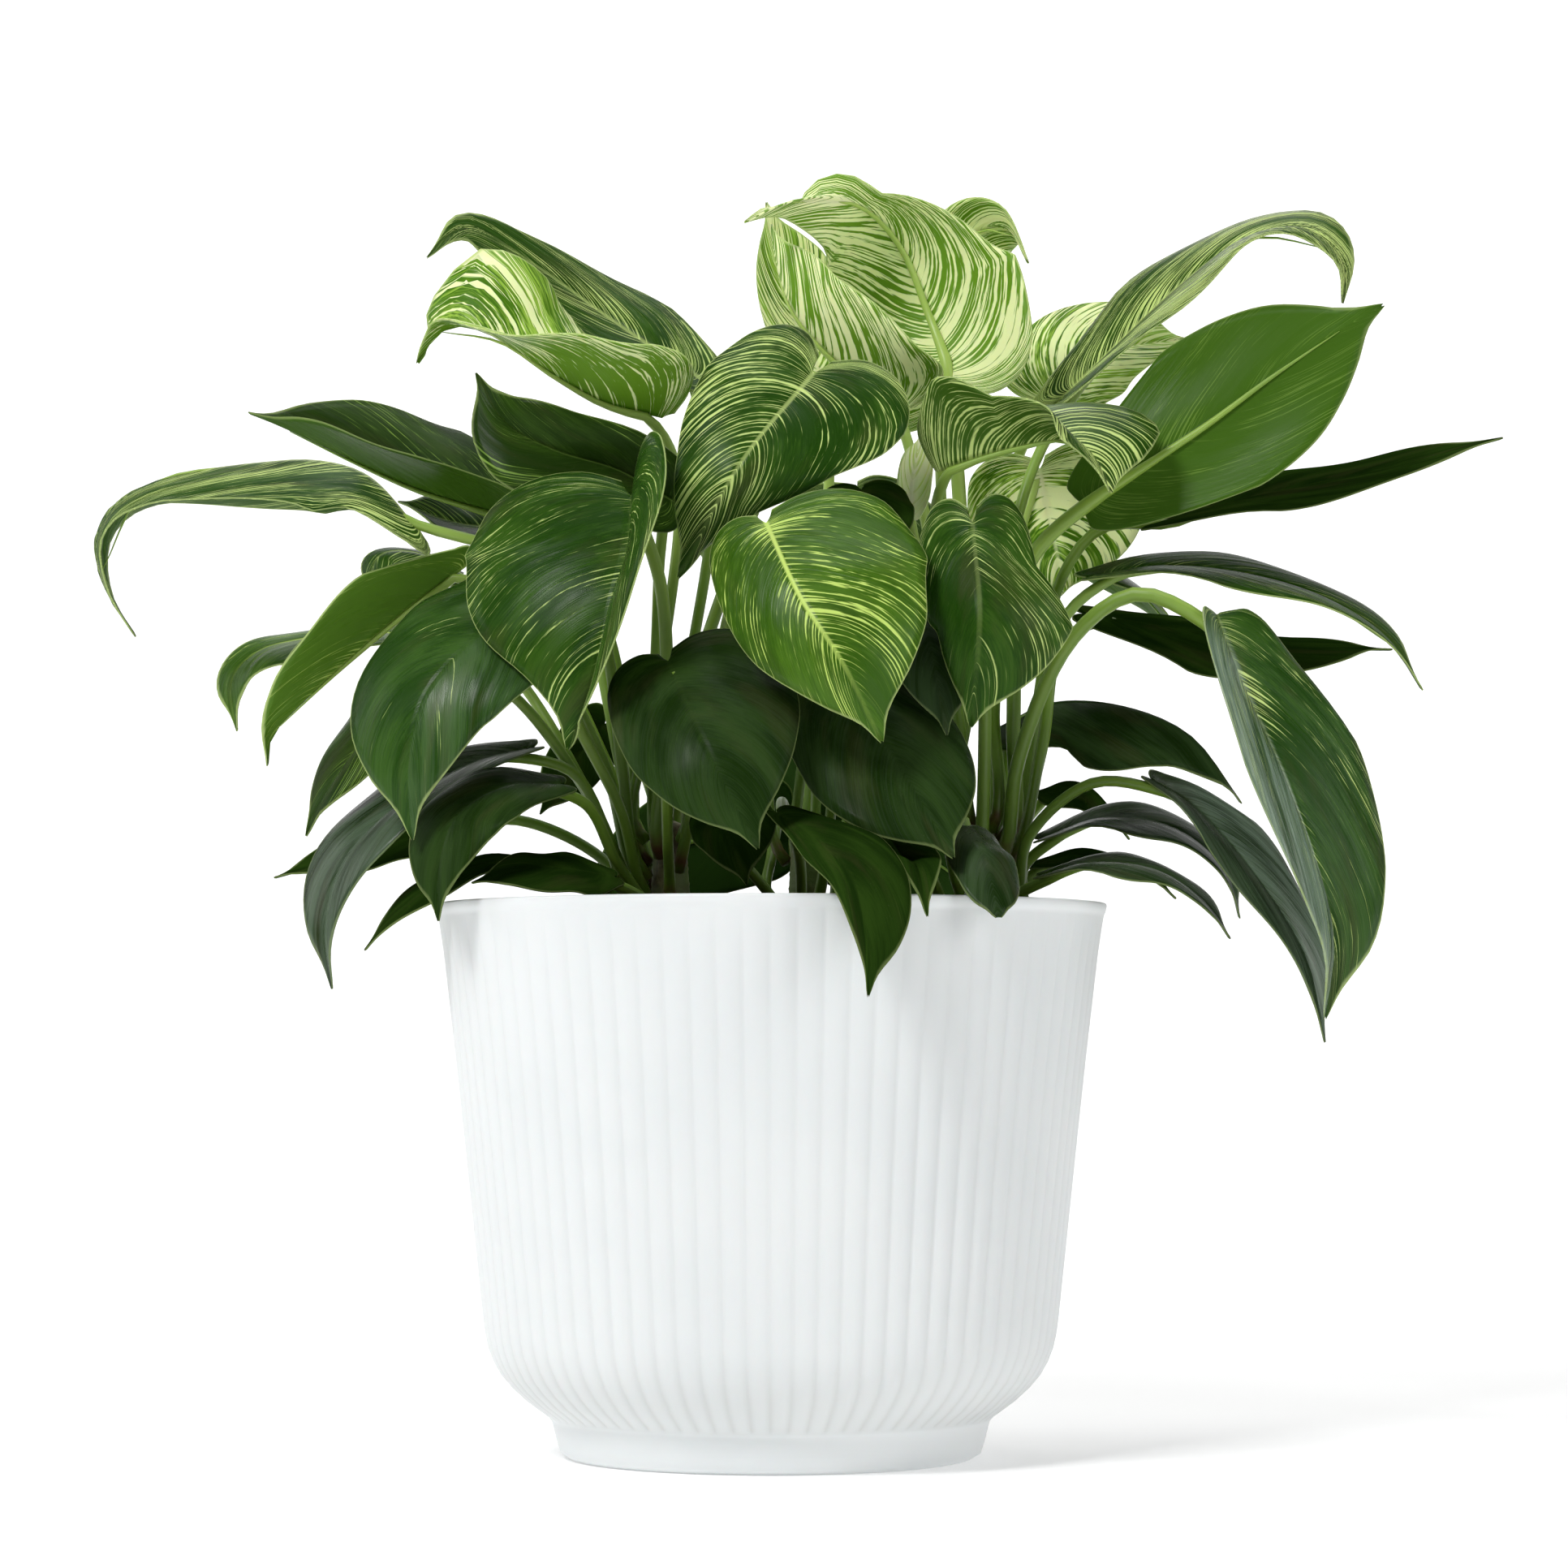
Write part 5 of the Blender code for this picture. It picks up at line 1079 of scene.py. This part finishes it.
def make_pot():
    """The planter, with rounded flutes that fade into the lip and end in scallops at the foot."""
    columns = FLUTES * COLUMNS_PER_FLUTE
    turn = np.arange(columns) / COLUMNS_PER_FLUTE
    ridge = np.abs(np.sin(math.pi * turn)) ** FLUTE_ROUNDNESS - 1.0
    places, radii, shares = np.array(POT_OUTSIDE).T
    slope = np.gradient(radii, places)
    facing_down = np.where(shares > 0, slope / np.sqrt(1 + slope**2), 0.0)
    heights = []
    for low, high in zip(places[:-1], places[1:]):
        count = max(1, round((high - low) / POT_ROW_HEIGHT))
        heights += list(np.linspace(low, high, count, endpoint=False))
    heights.append(POT_HEIGHT)
    rings = []
    grooves = []
    for height in heights:
        share = np.interp(height, places, shares)
        radius = np.interp(height, places, radii)
        rings.append(ring_points(radius, height, columns, ridge * FLUTE_DEPTH * share))
        # Each point's depth in a flute and how far the wall faces down there, which the material turns
        # into painted shade
        under = np.full(columns, np.interp(height, places, facing_down))
        grooves.append(np.stack([-ridge * share, under, np.zeros(columns)], axis=1))
    for height, radius in POT_INSIDE:
        rings.append(ring_points(radius, height, columns))
        grooves.append(np.zeros((columns, 3)))
    faces = stack_faces(len(rings), columns)
    attributes = {"groove": np.vstack(grooves)}
    return add_piece("look_pot", np.vstack(rings), faces, [pot_material()], "pot", "pot", attributes)


def inside_radius(height):
    """Radius of the pot's inner wall at a height."""
    return np.interp(height, *zip(*sorted(POT_INSIDE)))


def make_soil():
    """The potting mix: an uneven crumbly top with lumps of the mix half sunk in it."""
    dice = random.Random(SOIL_SEED)
    edge = inside_radius(SOIL_TOP) - CLEARANCE
    points = []
    for i in range(SOIL_RINGS + 1):
        radius = edge * (i + 0.4) / (SOIL_RINGS + 0.4)
        for j in range(SOIL_SPOKES):
            angle = math.tau * (j + 0.5 * (i % 2)) / SOIL_SPOKES
            rise = dice.uniform(-SOIL_UNEVEN, SOIL_UNEVEN) - SOIL_DIP * (i / SOIL_RINGS) ** 6
            height = SOIL_TOP - SOIL_UNEVEN + rise
            points.append((radius * math.cos(angle), radius * math.sin(angle), height))
    for height, radius in POT_INSIDE:
        if height < SOIL_TOP:
            points += ring_points(radius - CLEARANCE, height + CLEARANCE, SOIL_SPOKES).tolist()
    faces = stack_faces(len(points) // SOIL_SPOKES, SOIL_SPOKES, turned=True)
    for _ in range(CRUMBS):
        add_crumb(points, faces, dice, edge)
    return add_piece("look_soil", points, faces, [soil_material()], "soil", "soil")


def add_crumb(points, faces, dice, edge):
    """One lump of the potting mix: a stretched, uneven octahedron half sunk in the top."""
    reach, angle = (edge - 4) * math.sqrt(dice.random()), dice.uniform(0, math.tau)
    x, y = reach * math.cos(angle), reach * math.sin(angle)
    size = dice.uniform(*CRUMB_SIZES)
    turn = dice.uniform(0, math.pi)
    start = len(points)
    sizes = (size * dice.uniform(1.0, 2.2), size * 0.8, size * 0.6)
    for axis in range(3):
        for sign in (1, -1):
            offset = [0.0, 0.0, 0.0]
            offset[axis] = sign * sizes[axis] * dice.uniform(0.7, 1.2)
            dx = offset[0] * math.cos(turn) - offset[1] * math.sin(turn)
            dy = offset[0] * math.sin(turn) + offset[1] * math.cos(turn)
            points.append((x + dx, y + dy, SOIL_TOP - 0.4 + offset[2] + 0.2 * size))
    for a in (0, 1):
        for b in (2, 3):
            for c in (4, 5):
                face = (start + a, start + b, start + c)
                faces.append(face if (a + b + c) % 2 == 0 else face[::-1])


def make_crown(name, centre, finish):
    """A short stem with the rings of dropped leaves and a rounded top."""
    spokes = np.arange(CROWN_COLUMNS) * math.tau / CROWN_COLUMNS
    rings = []
    for height in np.linspace(-CROWN_BURIED, CROWN_HEIGHT + CROWN_DOME, CROWN_ROWS):
        over = max(0.0, height - CROWN_HEIGHT + 1.5) / 3.2
        ringed = SCAR_HEIGHT * (math.sin(height * SCAR_TURN) ** 8)
        radius = (crown_radius(height) - CROWN_INSET + ringed) * math.sqrt(max(0.05, 1 - over**2))
        swell = LUMP_HEIGHT * np.sin(spokes * LUMPS + height * 0.2)
        ring = ring_points(radius, SOIL_TOP + height, CROWN_COLUMNS, swell)
        rings.append(ring + np.array([*centre, 0.0]))
    node = "crown_" + name
    faces = stack_faces(CROWN_ROWS, CROWN_COLUMNS)
    return add_piece("look_" + node, np.vstack(rings), faces, [finish], node, "crown")


def make_stage():
    """A pale floor that bends up into a wall far behind."""
    rows = [(FLOOR_FRONT, 0.0), (BEND_START, 0.0)]
    for i in range(1, BEND_STEPS + 1):
        angle = math.radians(90 / BEND_STEPS * i)
        rows.append((BEND_START + BEND_RADIUS * math.sin(angle), BEND_RADIUS * (1 - math.cos(angle))))
    rows.append((BEND_START + BEND_RADIUS, WALL_TOP))
    points = [(x, y, z) for y, z in rows for x in (-BACKDROP_HALF_WIDTH, BACKDROP_HALF_WIDTH)]
    faces = [(2 * i, 2 * i + 1, 2 * i + 3, 2 * i + 2) for i in range(len(rows) - 1)]
    mesh = bpy.data.meshes.new("backdrop")
    mesh.from_pydata(points, [], faces)
    mesh.shade_smooth()
    n = Nodes("backdrop paper")
    n.set(Base_Color=BACKDROP_COLOUR, Roughness=0.9, Specular_IOR_Level=0.1)
    n.set(Emission_Color=WHITE, Emission_Strength=BACKDROP_GLOW)
    mesh.materials.append(n.material)
    floor = bpy.data.objects.new("backdrop", mesh)
    bpy.context.scene.collection.objects.link(floor)


def make_camera():
    """The photograph's view: from about 1.2 m, below the level of the rim, tilted up a little."""
    data = bpy.data.cameras.new("camera")
    data.sensor_width = SENSOR_WIDTH
    data.lens = SENSOR_WIDTH * FOCAL_PIXELS / PHOTO_PIXELS
    camera = bpy.data.objects.new("camera", data)
    camera.location = Vector(CAMERA_PLACE) * MM
    camera.rotation_euler = (math.radians(90 + CAMERA_TILT), 0, 0)
    bpy.context.scene.collection.objects.link(camera)
    bpy.context.scene.camera = camera


def add_lamp(name, place, target, size, watts):
    """A soft square lamp that looks at a point."""
    data = bpy.data.lights.new(name, "AREA")
    data.shape = "SQUARE"
    data.size = size
    data.energy = watts
    lamp = bpy.data.objects.new(name, data)
    lamp.location = place
    lamp.rotation_euler = (Vector(target) - Vector(place)).to_track_quat("-Z", "Y").to_euler()
    bpy.context.scene.collection.objects.link(lamp)


def make_lights():
    """A soft light from the upper left, weak ones from both sides and above, and a lit wall."""
    for lamp in LAMPS:
        add_lamp(*lamp)
    world = bpy.data.worlds.new("white room")
    world.use_nodes = True
    background = world.node_tree.nodes["Background"]
    background.inputs["Color"].default_value = (*WHITE, 1.0)
    background.inputs["Strength"].default_value = ROOM_LIGHT
    bpy.context.scene.world = world
    bpy.context.scene.view_settings.view_transform = "Standard"


def plain_box(box):
    """A box's corners as lists of numbers."""
    return [[float(number) for number in corner] for corner in box]


def main():
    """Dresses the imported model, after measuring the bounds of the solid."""
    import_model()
    solid = plain_box(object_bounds())
    make_camera()
    make_lights()
    make_stage()
    finishes = {tone: leaf_material(tone) for tone in LEAF_LOOKS}
    finishes["stalk"] = stalk_material()
    make_pot()
    make_soil()
    stem = crown_material()
    for name, centre in CROWNS.items():
        make_crown(name, centre, stem)
    for number, entry in enumerate(LEAVES):
        make_leaf(entry, number, finishes)


main()
